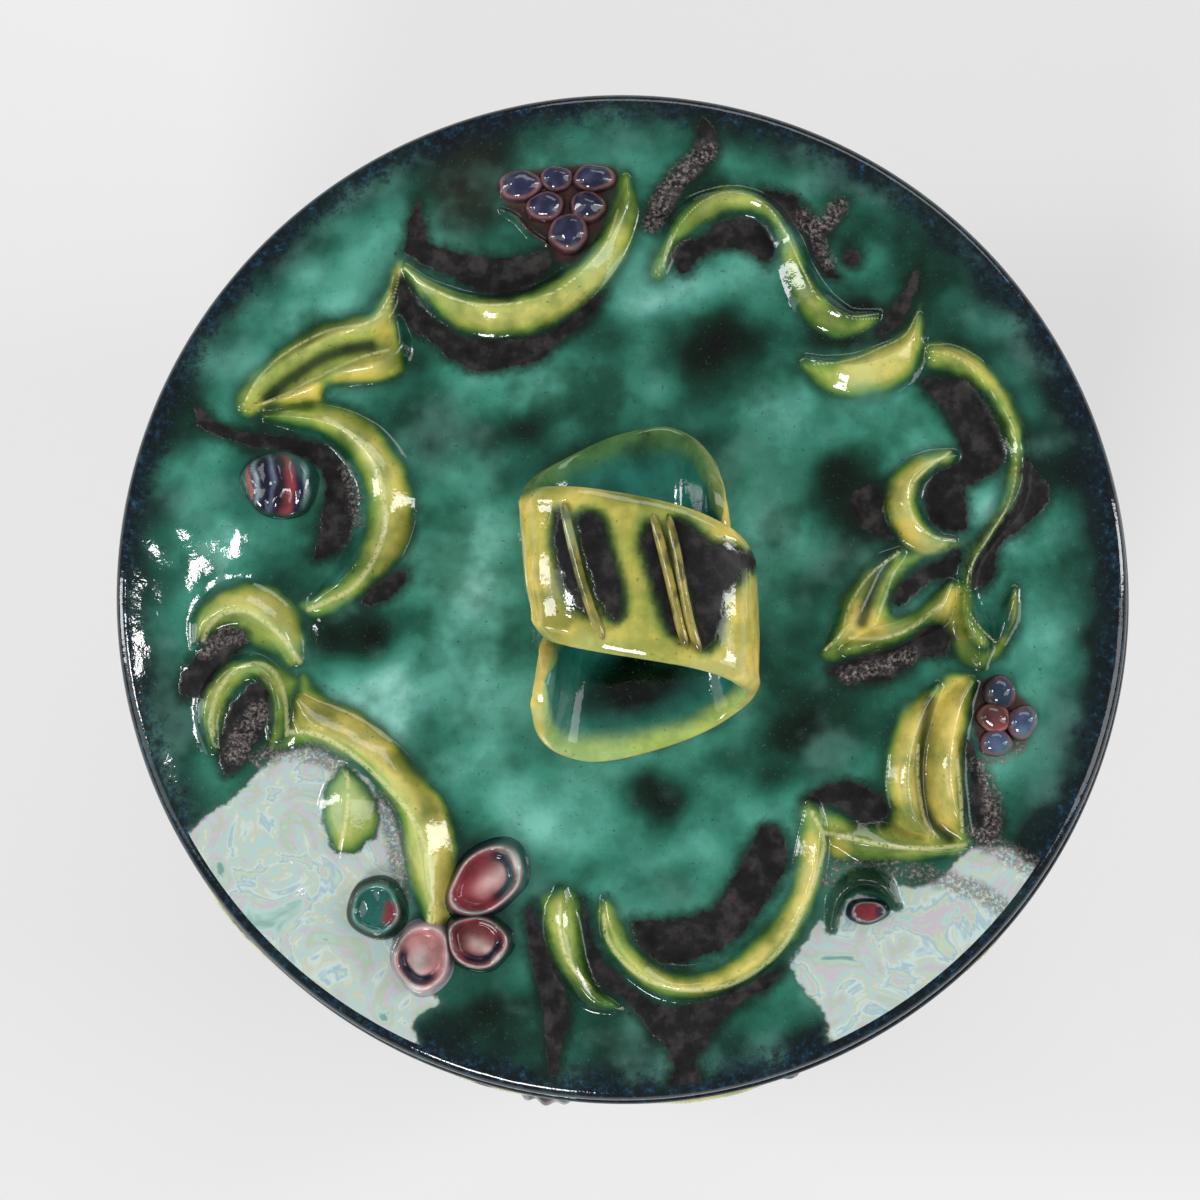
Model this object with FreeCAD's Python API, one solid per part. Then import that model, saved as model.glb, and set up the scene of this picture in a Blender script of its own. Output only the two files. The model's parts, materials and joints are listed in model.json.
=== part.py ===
import FreeCAD, Part
import math
import os

# Round lidded pot of glazed earthenware. The jar stands on its foot ring at the origin,
# +Z is up and -Y is the front. Everything is in millimetres.
# The lid lifts off as one piece with its strap handle and its raised garland.
# Members of the garland are clay strips, pellets and petals that are luted on.

# Jar body
jar_height = 165.0
belly_radius = 94.3
belly_height = 108.0
barrel_round_radius = 280.0
jar_wall_thickness = 6.0
base_round_radius = 24.0

# Rim of the jar
rim_radius = 95.4
rim_height = 9.0
rim_side_height = 4.0
rim_edge_round = 1.2
rim_flare_sag = 0.8

# Foot ring
foot_radius = 57.0
foot_width = 8.0
foot_height = 5.0
foot_edge_round = 1.0

# Lid plate, a low dome with a rounded edge, which sits a little off the jar's centre
lid_radius = 95.0
lid_edge_thickness = 5.5
lid_edge_round = 2.2
lid_under_round = 1.0
lid_rise = 7.0
lid_thickness = 6.5
lid_seat_gap = 0.3
lid_shift_x = -0.4
lid_shift_y = 0.3

# Ring under the lid that keeps it centred in the mouth
flange_clearance = 1.5
flange_thickness = 5.0
flange_height = 9.0

# Strap handle, a ribbon of clay wound one and a half turns
handle_length = 45.5
handle_height = 31.0
strap_width = 28.0
strap_thickness = 4.0
handle_offset_x = 3.0
handle_offset_y = -0.8
handle_sink = 1.2
vein_width = 1.8
vein_height = 1.3

# How deep a luted member starts below the surface that it is pressed on, and how many
# sections shape it between one station and the next
root_depth = 1.2
sections_per_station = 2

# The loop of the strap is a squared oval, and its edges are rounded
loop_squareness = 2.7
strap_squareness = 3.2
strap_section_points = 12
strap_sections_per_turn = 16

# Half of the strap, from the crown of the handle to its tucked end: turns passed,
# then the place along the handle and the width as shares of the strap's width, and
# how far the strap moves in as a share of the loop.
strap_shares = (
    (0.00, 0.00, 1.00, 0.000),
    (0.12, 0.07, 1.00, 0.000),
    (0.25, 0.18, 1.00, 0.000),
    (0.37, 0.36, 1.00, 0.000),
    (0.50, 0.57, 1.00, 0.040),
    (0.58, 0.63, 0.90, 0.130),
    (0.65, 0.60, 0.74, 0.230),
    (0.73, 0.52, 0.50, 0.280),
)

# The two veins on the crown of the strap, from its back edge to its front edge: turns
# passed and places across as shares of half the strap's width.
vein_shares = (
    ((0.096, 0.80), (0.082, 0.45), (0.066, 0.00), (0.050, -0.42), (0.036, -0.80)),
    ((-0.015, 0.80), (-0.025, 0.45), (-0.038, 0.00), (-0.050, -0.42), (-0.061, -0.80)),
)

# Cross-section of a strip: places across, then heights, as shares of the strip's half
# width and crest.
strip_section_shares = ((-1.0, 0.0), (-0.7, 0.66), (0.0, 1.0), (0.7, 0.66), (1.0, 0.0))

# Strips on the lid. Each row is one station: across, towards the back, half width and
# crest, all as shares of the lid's radius. The last number leans the crest sideways as a
# share of the half width.
grape_crescent_shares = (
    (
        (-0.430, 0.640, 0.008, 0.012),
        (-0.385, 0.590, 0.026, 0.030),
        (-0.310, 0.550, 0.038, 0.040),
        (-0.240, 0.540, 0.043, 0.044),
        (-0.150, 0.563, 0.043, 0.044),
        (-0.073, 0.620, 0.038, 0.042),
        (-0.018, 0.690, 0.030, 0.038),
        (0.014, 0.765, 0.020, 0.030),
        (0.010, 0.820, 0.008, 0.014),
    ),
    0.25,
)
grape_tendril_shares = (
    (
        (-0.240, 0.758, 0.006, 0.010),
        (-0.210, 0.740, 0.008, 0.014),
        (-0.182, 0.708, 0.008, 0.014),
        (-0.150, 0.688, 0.006, 0.010),
    ),
    0.0,
)
leaf_back_ridge_shares = (
    (
        (-0.452, 0.622, 0.010, 0.016),
        (-0.463, 0.577, 0.018, 0.028),
        (-0.499, 0.526, 0.024, 0.034),
        (-0.574, 0.496, 0.022, 0.030),
        (-0.651, 0.456, 0.020, 0.028),
        (-0.713, 0.411, 0.020, 0.026),
        (-0.745, 0.367, 0.012, 0.014),
    ),
    0.0,
)
leaf_front_ridge_shares = (
    (
        (-0.444, 0.530, 0.014, 0.016),
        (-0.440, 0.474, 0.026, 0.032),
        (-0.479, 0.440, 0.028, 0.036),
        (-0.549, 0.425, 0.024, 0.034),
        (-0.608, 0.395, 0.022, 0.032),
        (-0.667, 0.375, 0.016, 0.024),
        (-0.717, 0.367, 0.008, 0.012),
    ),
    0.0,
)
bud_crescent_shares = (
    (
        (-0.700, 0.343, 0.010, 0.014),
        (-0.638, 0.340, 0.024, 0.028),
        (-0.562, 0.321, 0.036, 0.038),
        (-0.503, 0.278, 0.048, 0.044),
        (-0.467, 0.219, 0.054, 0.046),
        (-0.461, 0.149, 0.056, 0.046),
        (-0.483, 0.080, 0.052, 0.044),
        (-0.535, 0.017, 0.038, 0.036),
        (-0.602, -0.029, 0.014, 0.018),
    ),
    -0.1,
)
back_loop_shares = (
    (
        (-0.836, -0.106, 0.012, 0.016),
        (-0.822, -0.060, 0.026, 0.030),
        (-0.784, -0.031, 0.036, 0.036),
        (-0.737, -0.025, 0.040, 0.040),
        (-0.689, -0.049, 0.038, 0.040),
        (-0.657, -0.088, 0.030, 0.034),
        (-0.638, -0.136, 0.014, 0.018),
    ),
    -0.3,
)
front_loop_shares = (
    (
        (-0.804, -0.310, 0.014, 0.014),
        (-0.814, -0.258, 0.020, 0.024),
        (-0.804, -0.205, 0.024, 0.030),
        (-0.770, -0.164, 0.024, 0.032),
        (-0.725, -0.152, 0.024, 0.034),
        (-0.690, -0.178, 0.026, 0.034),
        (-0.673, -0.228, 0.024, 0.032),
        (-0.677, -0.284, 0.016, 0.020),
    ),
    0.0,
)
flower_stem_shares = (
    (
        (-0.630, -0.222, 0.018, 0.018),
        (-0.592, -0.262, 0.040, 0.034),
        (-0.515, -0.304, 0.044, 0.040),
        (-0.450, -0.358, 0.045, 0.042),
        (-0.404, -0.429, 0.046, 0.042),
        (-0.382, -0.504, 0.047, 0.042),
        (-0.372, -0.581, 0.040, 0.040),
        (-0.366, -0.655, 0.024, 0.028),
    ),
    -0.2,
)
oval_leaf_shares = (
    (
        (-0.547, -0.350, 0.010, 0.008),
        (-0.541, -0.383, 0.040, 0.024),
        (-0.537, -0.429, 0.054, 0.030),
        (-0.539, -0.480, 0.042, 0.024),
        (-0.549, -0.518, 0.010, 0.008),
    ),
    -0.1,
)
short_rib_shares = (
    (
        (-0.119, -0.592, 0.014, 0.016),
        (-0.119, -0.641, 0.032, 0.032),
        (-0.111, -0.700, 0.034, 0.036),
        (-0.093, -0.754, 0.032, 0.032),
        (-0.059, -0.801, 0.024, 0.022),
        (-0.008, -0.823, 0.010, 0.008),
    ),
    0.0,
)
front_sickle_shares = (
    (
        (-0.028, -0.612, 0.014, 0.016),
        (-0.010, -0.670, 0.030, 0.030),
        (0.030, -0.730, 0.034, 0.036),
        (0.095, -0.769, 0.034, 0.040),
        (0.178, -0.763, 0.034, 0.042),
        (0.257, -0.720, 0.036, 0.042),
        (0.323, -0.651, 0.034, 0.042),
        (0.360, -0.567, 0.032, 0.040),
        (0.374, -0.488, 0.028, 0.036),
        (0.374, -0.425, 0.014, 0.018),
    ),
    -0.2,
)
right_rib_shares = (
    (
        (0.422, -0.486, 0.020, 0.020),
        (0.475, -0.492, 0.042, 0.032),
        (0.541, -0.504, 0.030, 0.034),
        (0.610, -0.512, 0.022, 0.030),
        (0.673, -0.508, 0.010, 0.014),
    ),
    -0.2,
)
inner_lobe_shares = (
    (
        (0.618, -0.191, 0.010, 0.012),
        (0.584, -0.245, 0.024, 0.028),
        (0.560, -0.310, 0.030, 0.036),
        (0.552, -0.383, 0.033, 0.042),
        (0.564, -0.443, 0.030, 0.040),
        (0.594, -0.482, 0.014, 0.020),
    ),
    0.0,
)
outer_lobe_shares = (
    (
        (0.685, -0.183, 0.012, 0.014),
        (0.657, -0.231, 0.028, 0.032),
        (0.639, -0.298, 0.034, 0.040),
        (0.634, -0.373, 0.035, 0.044),
        (0.647, -0.437, 0.030, 0.040),
        (0.672, -0.480, 0.012, 0.018),
    ),
    0.0,
)
right_bud_hood_shares = (
    (
        (0.408, -0.666, 0.012, 0.016),
        (0.418, -0.609, 0.018, 0.030),
        (0.455, -0.573, 0.026, 0.038),
        (0.503, -0.579, 0.026, 0.036),
        (0.535, -0.619, 0.014, 0.020),
    ),
    -0.1,
)
curl_leaf_shares = (
    (
        (0.653, 0.264, 0.014, 0.014),
        (0.600, 0.248, 0.024, 0.026),
        (0.560, 0.213, 0.034, 0.036),
        (0.550, 0.165, 0.038, 0.042),
        (0.574, 0.118, 0.032, 0.040),
        (0.618, 0.092, 0.020, 0.030),
        (0.652, 0.096, 0.008, 0.012),
    ),
    0.1,
)
fan_left_ridge_shares = (
    (
        (0.545, 0.070, 0.012, 0.014),
        (0.503, 0.036, 0.028, 0.026),
        (0.477, -0.013, 0.036, 0.034),
        (0.451, -0.066, 0.036, 0.038),
        (0.410, -0.112, 0.014, 0.018),
    ),
    0.0,
)
fan_front_ridge_shares = (
    (
        (0.442, -0.120, 0.016, 0.020),
        (0.501, -0.106, 0.026, 0.032),
        (0.566, -0.082, 0.022, 0.030),
        (0.617, -0.043, 0.030, 0.034),
        (0.645, 0.007, 0.014, 0.018),
    ),
    0.0,
)
tall_scroll_shares = (
    (
        (0.612, 0.472, 0.014, 0.014),
        (0.659, 0.456, 0.026, 0.028),
        (0.725, 0.401, 0.028, 0.034),
        (0.766, 0.322, 0.026, 0.036),
        (0.780, 0.244, 0.024, 0.036),
        (0.764, 0.177, 0.028, 0.034),
        (0.719, 0.118, 0.026, 0.030),
        (0.685, 0.058, 0.020, 0.026),
        (0.677, 0.006, 0.016, 0.020),
    ),
    0.1,
)
drop_leaf_shares = (
    (
        (0.681, -0.016, 0.018, 0.020),
        (0.683, -0.060, 0.032, 0.032),
        (0.697, -0.106, 0.034, 0.036),
        (0.703, -0.150, 0.012, 0.014),
    ),
    0.0,
)
drop_spur_shares = (
    (
        (0.742, -0.100, 0.012, 0.016),
        (0.756, -0.053, 0.020, 0.022),
        (0.772, -0.001, 0.008, 0.010),
    ),
    0.0,
)
back_scroll_shares = (
    (
        (0.079, 0.637, 0.014, 0.014),
        (0.097, 0.696, 0.024, 0.028),
        (0.145, 0.747, 0.034, 0.036),
        (0.220, 0.773, 0.030, 0.038),
        (0.283, 0.757, 0.026, 0.034),
        (0.325, 0.700, 0.026, 0.034),
        (0.346, 0.627, 0.034, 0.038),
        (0.382, 0.565, 0.038, 0.042),
        (0.442, 0.532, 0.028, 0.036),
        (0.505, 0.545, 0.010, 0.012),
    ),
    0.2,
)
yellow_leaf_shares = (
    (
        (0.362, 0.455, 0.010, 0.012),
        (0.408, 0.433, 0.028, 0.028),
        (0.471, 0.423, 0.044, 0.038),
        (0.537, 0.444, 0.046, 0.040),
        (0.575, 0.487, 0.032, 0.034),
        (0.588, 0.540, 0.012, 0.012),
    ),
    0.25,
)

# Pellets and petals on the lid: across, towards the back, radius and crest, as shares of
# the lid's radius.
grape_berries_shares = (
    (-0.202, 0.801, 0.032, 0.030),
    (-0.131, 0.813, 0.024, 0.026),
    (-0.057, 0.815, 0.026, 0.028),
    (-0.152, 0.751, 0.028, 0.030),
    (-0.063, 0.758, 0.026, 0.028),
    (-0.105, 0.702, 0.031, 0.032),
)
right_berries_shares = (
    (0.743, -0.201, 0.027, 0.028),
    (0.726, -0.252, 0.024, 0.030),
    (0.782, -0.256, 0.029, 0.028),
    (0.731, -0.303, 0.025, 0.026),
)
flower_petals_shares = (
    (-0.262, -0.563, 0.062, 0.034),
    (-0.285, -0.682, 0.050, 0.032),
    (-0.380, -0.722, 0.050, 0.032),
)
flower_side_bud_shares = ((-0.477, -0.623, 0.054, 0.040),)
left_bud_shares = ((-0.672, 0.205, 0.066, 0.038),)
right_bud_heart_shares = ((0.479, -0.634, 0.030, 0.022),)

# The hollow that a thumb leaves in a petal, as shares of the petal's radius: how far the
# pressing ball's centre stands above the surface, and the ball's radius.
petal_hollow_lift_share = 0.95
petal_hollow_radius_share = 0.72

# Garland on the jar. It goes round in equal lengths, and a row is a station: along the
# length, up the jar, half width and crest, as shares of the length, of the jar's height
# and of the belly's radius.
garland_lengths = 3
body_scrolls_shares = (
    (
        (0.030, 0.310, 0.012, 0.014),
        (0.055, 0.390, 0.030, 0.032),
        (0.105, 0.445, 0.040, 0.040),
        (0.170, 0.470, 0.042, 0.042),
        (0.235, 0.500, 0.036, 0.040),
        (0.285, 0.560, 0.036, 0.040),
        (0.325, 0.635, 0.042, 0.042),
        (0.375, 0.705, 0.040, 0.040),
        (0.435, 0.745, 0.028, 0.030),
        (0.495, 0.745, 0.010, 0.012),
    ),
    0.2,
)
body_crescents_shares = (
    (
        (0.505, 0.600, 0.012, 0.014),
        (0.515, 0.525, 0.030, 0.032),
        (0.546, 0.455, 0.042, 0.042),
        (0.593, 0.402, 0.048, 0.046),
        (0.645, 0.385, 0.050, 0.048),
        (0.697, 0.402, 0.046, 0.046),
        (0.744, 0.455, 0.038, 0.042),
        (0.775, 0.525, 0.026, 0.032),
        (0.785, 0.600, 0.012, 0.014),
    ),
    0.2,
)
body_waves_shares = (
    (
        (0.565, 0.715, 0.012, 0.014),
        (0.600, 0.755, 0.030, 0.034),
        (0.650, 0.785, 0.040, 0.048),
        (0.700, 0.785, 0.040, 0.048),
        (0.750, 0.770, 0.036, 0.044),
        (0.805, 0.785, 0.042, 0.052),
        (0.855, 0.755, 0.040, 0.044),
        (0.888, 0.690, 0.030, 0.034),
        (0.900, 0.620, 0.012, 0.014),
    ),
    0.2,
)
body_curls_shares = (
    (
        (0.083, 0.600, 0.012, 0.012),
        (0.078, 0.670, 0.030, 0.030),
        (0.108, 0.738, 0.038, 0.038),
        (0.164, 0.772, 0.040, 0.040),
        (0.222, 0.758, 0.032, 0.036),
        (0.256, 0.712, 0.022, 0.028),
        (0.267, 0.660, 0.010, 0.012),
    ),
    -0.2,
)
body_spurs_shares = (
    (
        (0.354, 0.600, 0.012, 0.012),
        (0.350, 0.545, 0.026, 0.028),
        (0.370, 0.490, 0.034, 0.034),
        (0.408, 0.460, 0.034, 0.036),
        (0.448, 0.464, 0.024, 0.028),
        (0.474, 0.495, 0.010, 0.012),
    ),
    0.2,
)
body_leaves_shares = (
    (
        (0.855, 0.540, 0.012, 0.012),
        (0.865, 0.500, 0.040, 0.026),
        (0.885, 0.440, 0.062, 0.034),
        (0.905, 0.380, 0.056, 0.034),
        (0.925, 0.325, 0.012, 0.012),
    ),
    0.0,
)
body_sickles_shares = (
    (
        (0.670, 0.270, 0.012, 0.012),
        (0.710, 0.225, 0.030, 0.030),
        (0.770, 0.200, 0.040, 0.038),
        (0.840, 0.195, 0.042, 0.040),
        (0.910, 0.210, 0.036, 0.036),
        (0.960, 0.245, 0.026, 0.028),
        (0.985, 0.300, 0.010, 0.012),
    ),
    -0.2,
)
body_low_leaves_shares = (
    (
        (0.255, 0.370, 0.010, 0.012),
        (0.300, 0.310, 0.034, 0.030),
        (0.360, 0.265, 0.046, 0.038),
        (0.430, 0.245, 0.046, 0.038),
        (0.500, 0.255, 0.034, 0.030),
        (0.550, 0.285, 0.010, 0.012),
    ),
    -0.2,
)
body_berries_shares = (
    (0.595, 0.530, 0.033, 0.032),
    (0.638, 0.520, 0.034, 0.034),
    (0.682, 0.530, 0.033, 0.032),
    (0.616, 0.592, 0.033, 0.032),
    (0.660, 0.592, 0.033, 0.032),
    (0.638, 0.655, 0.031, 0.030),
)
body_buds_shares = (
    (0.172, 0.655, 0.066, 0.042),
    (0.424, 0.560, 0.060, 0.040),
)

# Where the jar's curves meet
base_z = foot_height
rim_start_z = jar_height - rim_height
barrel_centre_r = belly_radius - barrel_round_radius
base_round_z = base_z + base_round_radius
base_round_span = barrel_round_radius - base_round_radius
base_round_r = barrel_centre_r + math.sqrt(base_round_span**2 - (belly_height - base_round_z) ** 2)


def barrel_radius(height, depth=0.0):
    """Radius of the barrel at a height, or of the surface a depth inside it."""
    reach = barrel_round_radius - depth
    return barrel_centre_r + math.sqrt(reach**2 - (height - belly_height) ** 2)


# Where the lid's curves meet
mouth_radius = barrel_radius(rim_start_z, jar_wall_thickness)
lid_base_z = jar_height + lid_seat_gap
lid_edge_z = lid_base_z + lid_edge_thickness
lid_top_z = lid_edge_z + lid_rise
dome_span = lid_radius - lid_edge_round
dome_radius = (dome_span**2 + lid_rise**2) / (2 * lid_rise)
dome_centre_z = lid_top_z - dome_radius
dome_under_radius = dome_radius - lid_thickness
dome_under_reach = math.sqrt(dome_under_radius**2 - (lid_base_z - dome_centre_z) ** 2)


def profile_point(radius, height):
    return FreeCAD.Vector(radius, 0, height)


def segment(start, end):
    return Part.LineSegment(start, end).toShape()


def round_edge(start, middle, end):
    return Part.Arc(start, middle, end).toShape()


def turned(edges):
    """Solid turned about the upright axis from a closed half profile."""
    face = Part.Face(Part.Wire(edges))
    return face.revolve(FreeCAD.Vector(0, 0, 0), FreeCAD.Vector(0, 0, 1), 360)


def on_circle(centre_r, centre_z, radius, r_part, z_part):
    """Point of a circle in the half profile, towards a direction."""
    size = math.hypot(r_part, z_part)
    return profile_point(centre_r + radius * r_part / size, centre_z + radius * z_part / size)


def jar_skin(depth, top_z):
    """Edges of the jar's surface from the axis to a height, a depth inside the outside."""
    tangent_r = base_round_r - barrel_centre_r
    tangent_z = base_round_z - belly_height
    base_radius = base_round_radius - depth
    axis_point = profile_point(0, base_z + depth)
    flat_end = profile_point(base_round_r, base_z + depth)
    bend_end = on_circle(base_round_r, base_round_z, base_radius, tangent_r, tangent_z)
    slant = math.hypot(tangent_r, tangent_z)
    bend_middle = on_circle(base_round_r, base_round_z, base_radius, tangent_r, tangent_z - slant)
    middle_z = (bend_end.z + top_z) / 2
    barrel_middle = profile_point(barrel_radius(middle_z, depth), middle_z)
    barrel_end = profile_point(barrel_radius(top_z, depth), top_z)
    edges = [
        segment(axis_point, flat_end),
        round_edge(flat_end, bend_middle, bend_end),
        round_edge(bend_end, barrel_middle, barrel_end),
    ]
    return edges, axis_point, barrel_end


def corner_round(corner_r, corner_z, radius, r_side, z_side):
    """Quarter round at an outer corner: its two ends and its middle."""
    centre_r = corner_r - r_side * radius
    centre_z = corner_z - z_side * radius
    along = profile_point(centre_r, corner_z)
    upright = profile_point(corner_r, centre_z)
    middle = on_circle(centre_r, centre_z, radius, r_side, z_side)
    return along, middle, upright


def jar_wall():
    outer, outer_axis, neck = jar_skin(0, rim_start_z)
    inner, inner_axis, mouth = jar_skin(jar_wall_thickness, rim_start_z)
    lip = profile_point(rim_radius, jar_height - rim_side_height)
    flare_middle = (neck + lip) * 0.5 + FreeCAD.Vector(-rim_flare_sag, 0, rim_flare_sag)
    out_along, out_middle, out_upright = corner_round(rim_radius, jar_height, rim_edge_round, 1, 1)
    in_along, in_middle, in_upright = corner_round(mouth_radius, jar_height, rim_edge_round, -1, 1)
    rim = [
        round_edge(neck, flare_middle, lip),
        segment(lip, out_upright),
        round_edge(out_upright, out_middle, out_along),
        segment(out_along, in_along),
        round_edge(in_along, in_middle, in_upright),
        segment(in_upright, mouth),
    ]
    floor = [segment(inner_axis, outer_axis)]
    return turned(outer + rim + inner[::-1] + floor)


def ring(outer_radius, width, height, base):
    """Upright ring with square edges."""
    place = FreeCAD.Vector(0, 0, base)
    bore = Part.makeCylinder(outer_radius - width, height, place)
    return Part.makeCylinder(outer_radius, height, place).cut(bore)


def foot_ring():
    blank = ring(foot_radius, foot_width, foot_height, 0)
    low_edges = [edge for edge in blank.Edges if edge.BoundBox.ZMax < foot_height / 2]
    return blank.makeFillet(foot_edge_round, low_edges)


def lid_plate():
    top_round = corner_round(lid_radius, lid_edge_z, lid_edge_round, 1, 1)
    low_round = corner_round(lid_radius, lid_base_z, lid_under_round, 1, -1)
    half = dome_span / 2
    crown = profile_point(0, lid_top_z)
    crown_middle = profile_point(half, dome_centre_z + math.sqrt(dome_radius**2 - half**2))
    seat_end = profile_point(dome_under_reach, lid_base_z)
    hollow = profile_point(0, dome_centre_z + dome_under_radius)
    hollow_half = dome_under_reach / 2
    hollow_z = dome_centre_z + math.sqrt(dome_under_radius**2 - hollow_half**2)
    edges = [
        round_edge(crown, crown_middle, top_round[0]),
        round_edge(*top_round),
        segment(top_round[2], low_round[2]),
        round_edge(low_round[2], low_round[1], low_round[0]),
        segment(low_round[0], seat_end),
        round_edge(seat_end, profile_point(hollow_half, hollow_z), hollow),
        segment(hollow, crown),
    ]
    return turned(edges)


def lid_flange(plate):
    """Ring under the lid, its top shaped to the underside of the plate."""
    height = flange_height + lid_edge_thickness / 2
    blank = ring(mouth_radius - flange_clearance, flange_thickness, height, lid_base_z - flange_height)
    return blank.cut(plate)


def lid_place(across, back):
    """Point on the dome and the way out of it, at shares of the lid's radius."""
    x = across * lid_radius
    y = back * lid_radius
    point = FreeCAD.Vector(x, y, dome_centre_z + math.sqrt(dome_radius**2 - x**2 - y**2))
    out = point - FreeCAD.Vector(0, 0, dome_centre_z)
    return point, out.normalize()


def jar_place(turn, up):
    """Point on the barrel and the way out of it, at a share of a turn and of the height."""
    angle = 2 * math.pi * turn
    height = up * jar_height
    radius = barrel_radius(height)
    point = FreeCAD.Vector(radius * math.cos(angle), radius * math.sin(angle), height)
    reach = radius - barrel_centre_r
    out = FreeCAD.Vector(reach * math.cos(angle), reach * math.sin(angle), height - belly_height)
    return point, out.normalize()


def smooth_line(points, parameters=None):
    line = Part.BSplineCurve()
    if parameters:
        line.interpolate(Points=points, Parameters=parameters)
    else:
        line.interpolate(points)
    return line


def strip_section(point, along, out, half_width, crest, lean, root):
    """Closed outline of a strip across its run, with a root below the surface."""
    side = out.cross(along).normalize()
    top = []
    for across, high in strip_section_shares:
        across = across + lean * high * (1 - abs(across))
        top.append(point + side * (across * half_width) + out * (high * crest))
    low_left = top[0] - out * root
    low_right = top[-1] - out * root
    edges = [
        smooth_line(top).toShape(),
        segment(top[-1], low_right),
        segment(low_right, low_left),
        segment(low_left, top[0]),
    ]
    return Part.Wire(edges)


def stations_on(rows, place, width_scale):
    """Stations of point, way out, half width and crest, smooth between the rows."""
    places = smooth_line([FreeCAD.Vector(row[0], row[1], 0) for row in rows])
    marks = [places.parameter(FreeCAD.Vector(row[0], row[1], 0)) for row in rows]
    sized = [FreeCAD.Vector(row[2], row[3], mark) for row, mark in zip(rows, marks)]
    sizes = smooth_line(sized, marks)
    stations = []
    for start, end in zip(marks, marks[1:]):
        for number in range(sections_per_station):
            stations.append(start + (end - start) * number / sections_per_station)
    stations.append(marks[-1])
    result = []
    for mark in stations:
        where = places.value(mark)
        size = sizes.value(mark)
        point, out = place(where.x, where.y)
        result.append((point, out, size.x * width_scale, size.y * width_scale))
    return result


def strip(stations, lean, root):
    """Strip of clay through stations of point, way out, half width and crest."""
    spine = smooth_line([station[0] for station in stations])
    wires = []
    for point, out, half_width, crest in stations:
        along = FreeCAD.Vector(*spine.tangent(spine.parameter(point))[0])
        wires.append(strip_section(point, along, out, half_width, crest, lean, root))
    return Part.makeLoft(wires, True, False)


def pellet(point, out, radius, crest):
    """Ball that shows above the surface as a dome of the given radius and crest."""
    ball_radius = (radius**2 + crest**2) / (2 * crest)
    return Part.makeSphere(ball_radius, point + out * (crest - ball_radius), out)


def petal(point, out, radius, crest):
    """Pellet with the hollow of a thumb in it."""
    thumb = point + out * (radius * petal_hollow_lift_share)
    ball = Part.makeSphere(radius * petal_hollow_radius_share, thumb, out)
    return pellet(point, out, radius, crest).cut(ball)


def outermost(shape, point, out):
    """The solid that lies furthest out of the surface."""
    return max(shape.Solids, key=lambda solid: (solid.CenterOfMass - point).dot(out))


def seated(blank, base, point, out, placed):
    """Blank shaped to its base and to every neighbour that was pressed on before it."""
    shape = outermost(blank.cut(base), point, out)
    for neighbour in placed:
        if shape.BoundBox.intersect(neighbour.BoundBox):
            shape = outermost(shape.cut(neighbour), point, out)
    placed.append(shape)
    return shape


def lid_strip(shares, plate, placed):
    rows, lean = shares
    stations = stations_on(rows, lid_place, lid_radius)
    point, out = stations[len(stations) // 2][:2]
    return seated(strip(stations, lean, root_depth), plate, point, out, placed)


def lid_pellets(shares, plate, placed, form):
    solids = []
    for across, back, radius, crest in shares:
        point, out = lid_place(across, back)
        blank = form(point, out, radius * lid_radius, crest * lid_radius)
        solids.append(seated(blank, plate, point, out, placed))
    return Part.makeCompound(solids)


def jar_strips(shares, wall, placed):
    rows, lean = shares
    solids = []
    for number in range(garland_lengths):
        turned_rows = [((number + row[0]) / garland_lengths, *row[1:]) for row in rows]
        stations = stations_on(turned_rows, jar_place, belly_radius)
        point, out = stations[len(stations) // 2][:2]
        solids.append(seated(strip(stations, lean, root_depth), wall, point, out, placed))
    return Part.makeCompound(solids)


def jar_pellets(shares, wall, placed, form):
    solids = []
    for number in range(garland_lengths):
        for along, up, radius, crest in shares:
            point, out = jar_place((number + along) / garland_lengths, up)
            blank = form(point, out, radius * belly_radius, crest * belly_radius)
            solids.append(seated(blank, wall, point, out, placed))
    return Part.makeCompound(solids)


def squared(value, squareness):
    return math.copysign(abs(value) ** (2 / squareness), value)


def strap_loop_centre():
    """Middle of the handle's loop, whose foot is pressed a little into the dome."""
    middle_z = lid_top_z - handle_sink + handle_height / 2
    return FreeCAD.Vector(handle_offset_x, handle_offset_y, middle_z)


def strap_frame(turn, settings):
    """Centre and width of the strap at a number of turns from the crown."""
    half_length = (handle_length - strap_thickness) / 2
    half_height = (handle_height - strap_thickness) / 2
    side = math.copysign(1, turn)
    advance, width, inset = settings.value(abs(turn))
    angle = 2 * math.pi * turn
    reach = 1 - inset
    x = -half_length * reach * squared(math.sin(angle), loop_squareness)
    z = half_height * reach * squared(math.cos(angle), loop_squareness) - half_height * inset
    centre = FreeCAD.Vector(x, side * advance * strap_width, z)
    return strap_loop_centre() + centre, width * strap_width


def strap_line():
    """Settings of the strap, its frames from one end to the other and the line of them."""
    settings = smooth_line(
        [FreeCAD.Vector(*row[1:]) for row in strap_shares], [row[0] for row in strap_shares]
    )
    end_turn = strap_shares[-1][0]
    count = 2 * round(end_turn * strap_sections_per_turn)
    turns = [end_turn * (2 * number / count - 1) for number in range(count + 1)]
    frames = [strap_frame(turn, settings) for turn in turns]
    return settings, frames, smooth_line([centre for centre, width in frames])


def strap_ways(line, centre):
    """Ways across the strap and out of it; its width stays near the Y axis."""
    along = FreeCAD.Vector(*line.tangent(line.parameter(centre))[0])
    out = FreeCAD.Vector(0, 1, 0).cross(along).normalize()
    return along.cross(out).normalize(), out


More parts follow.
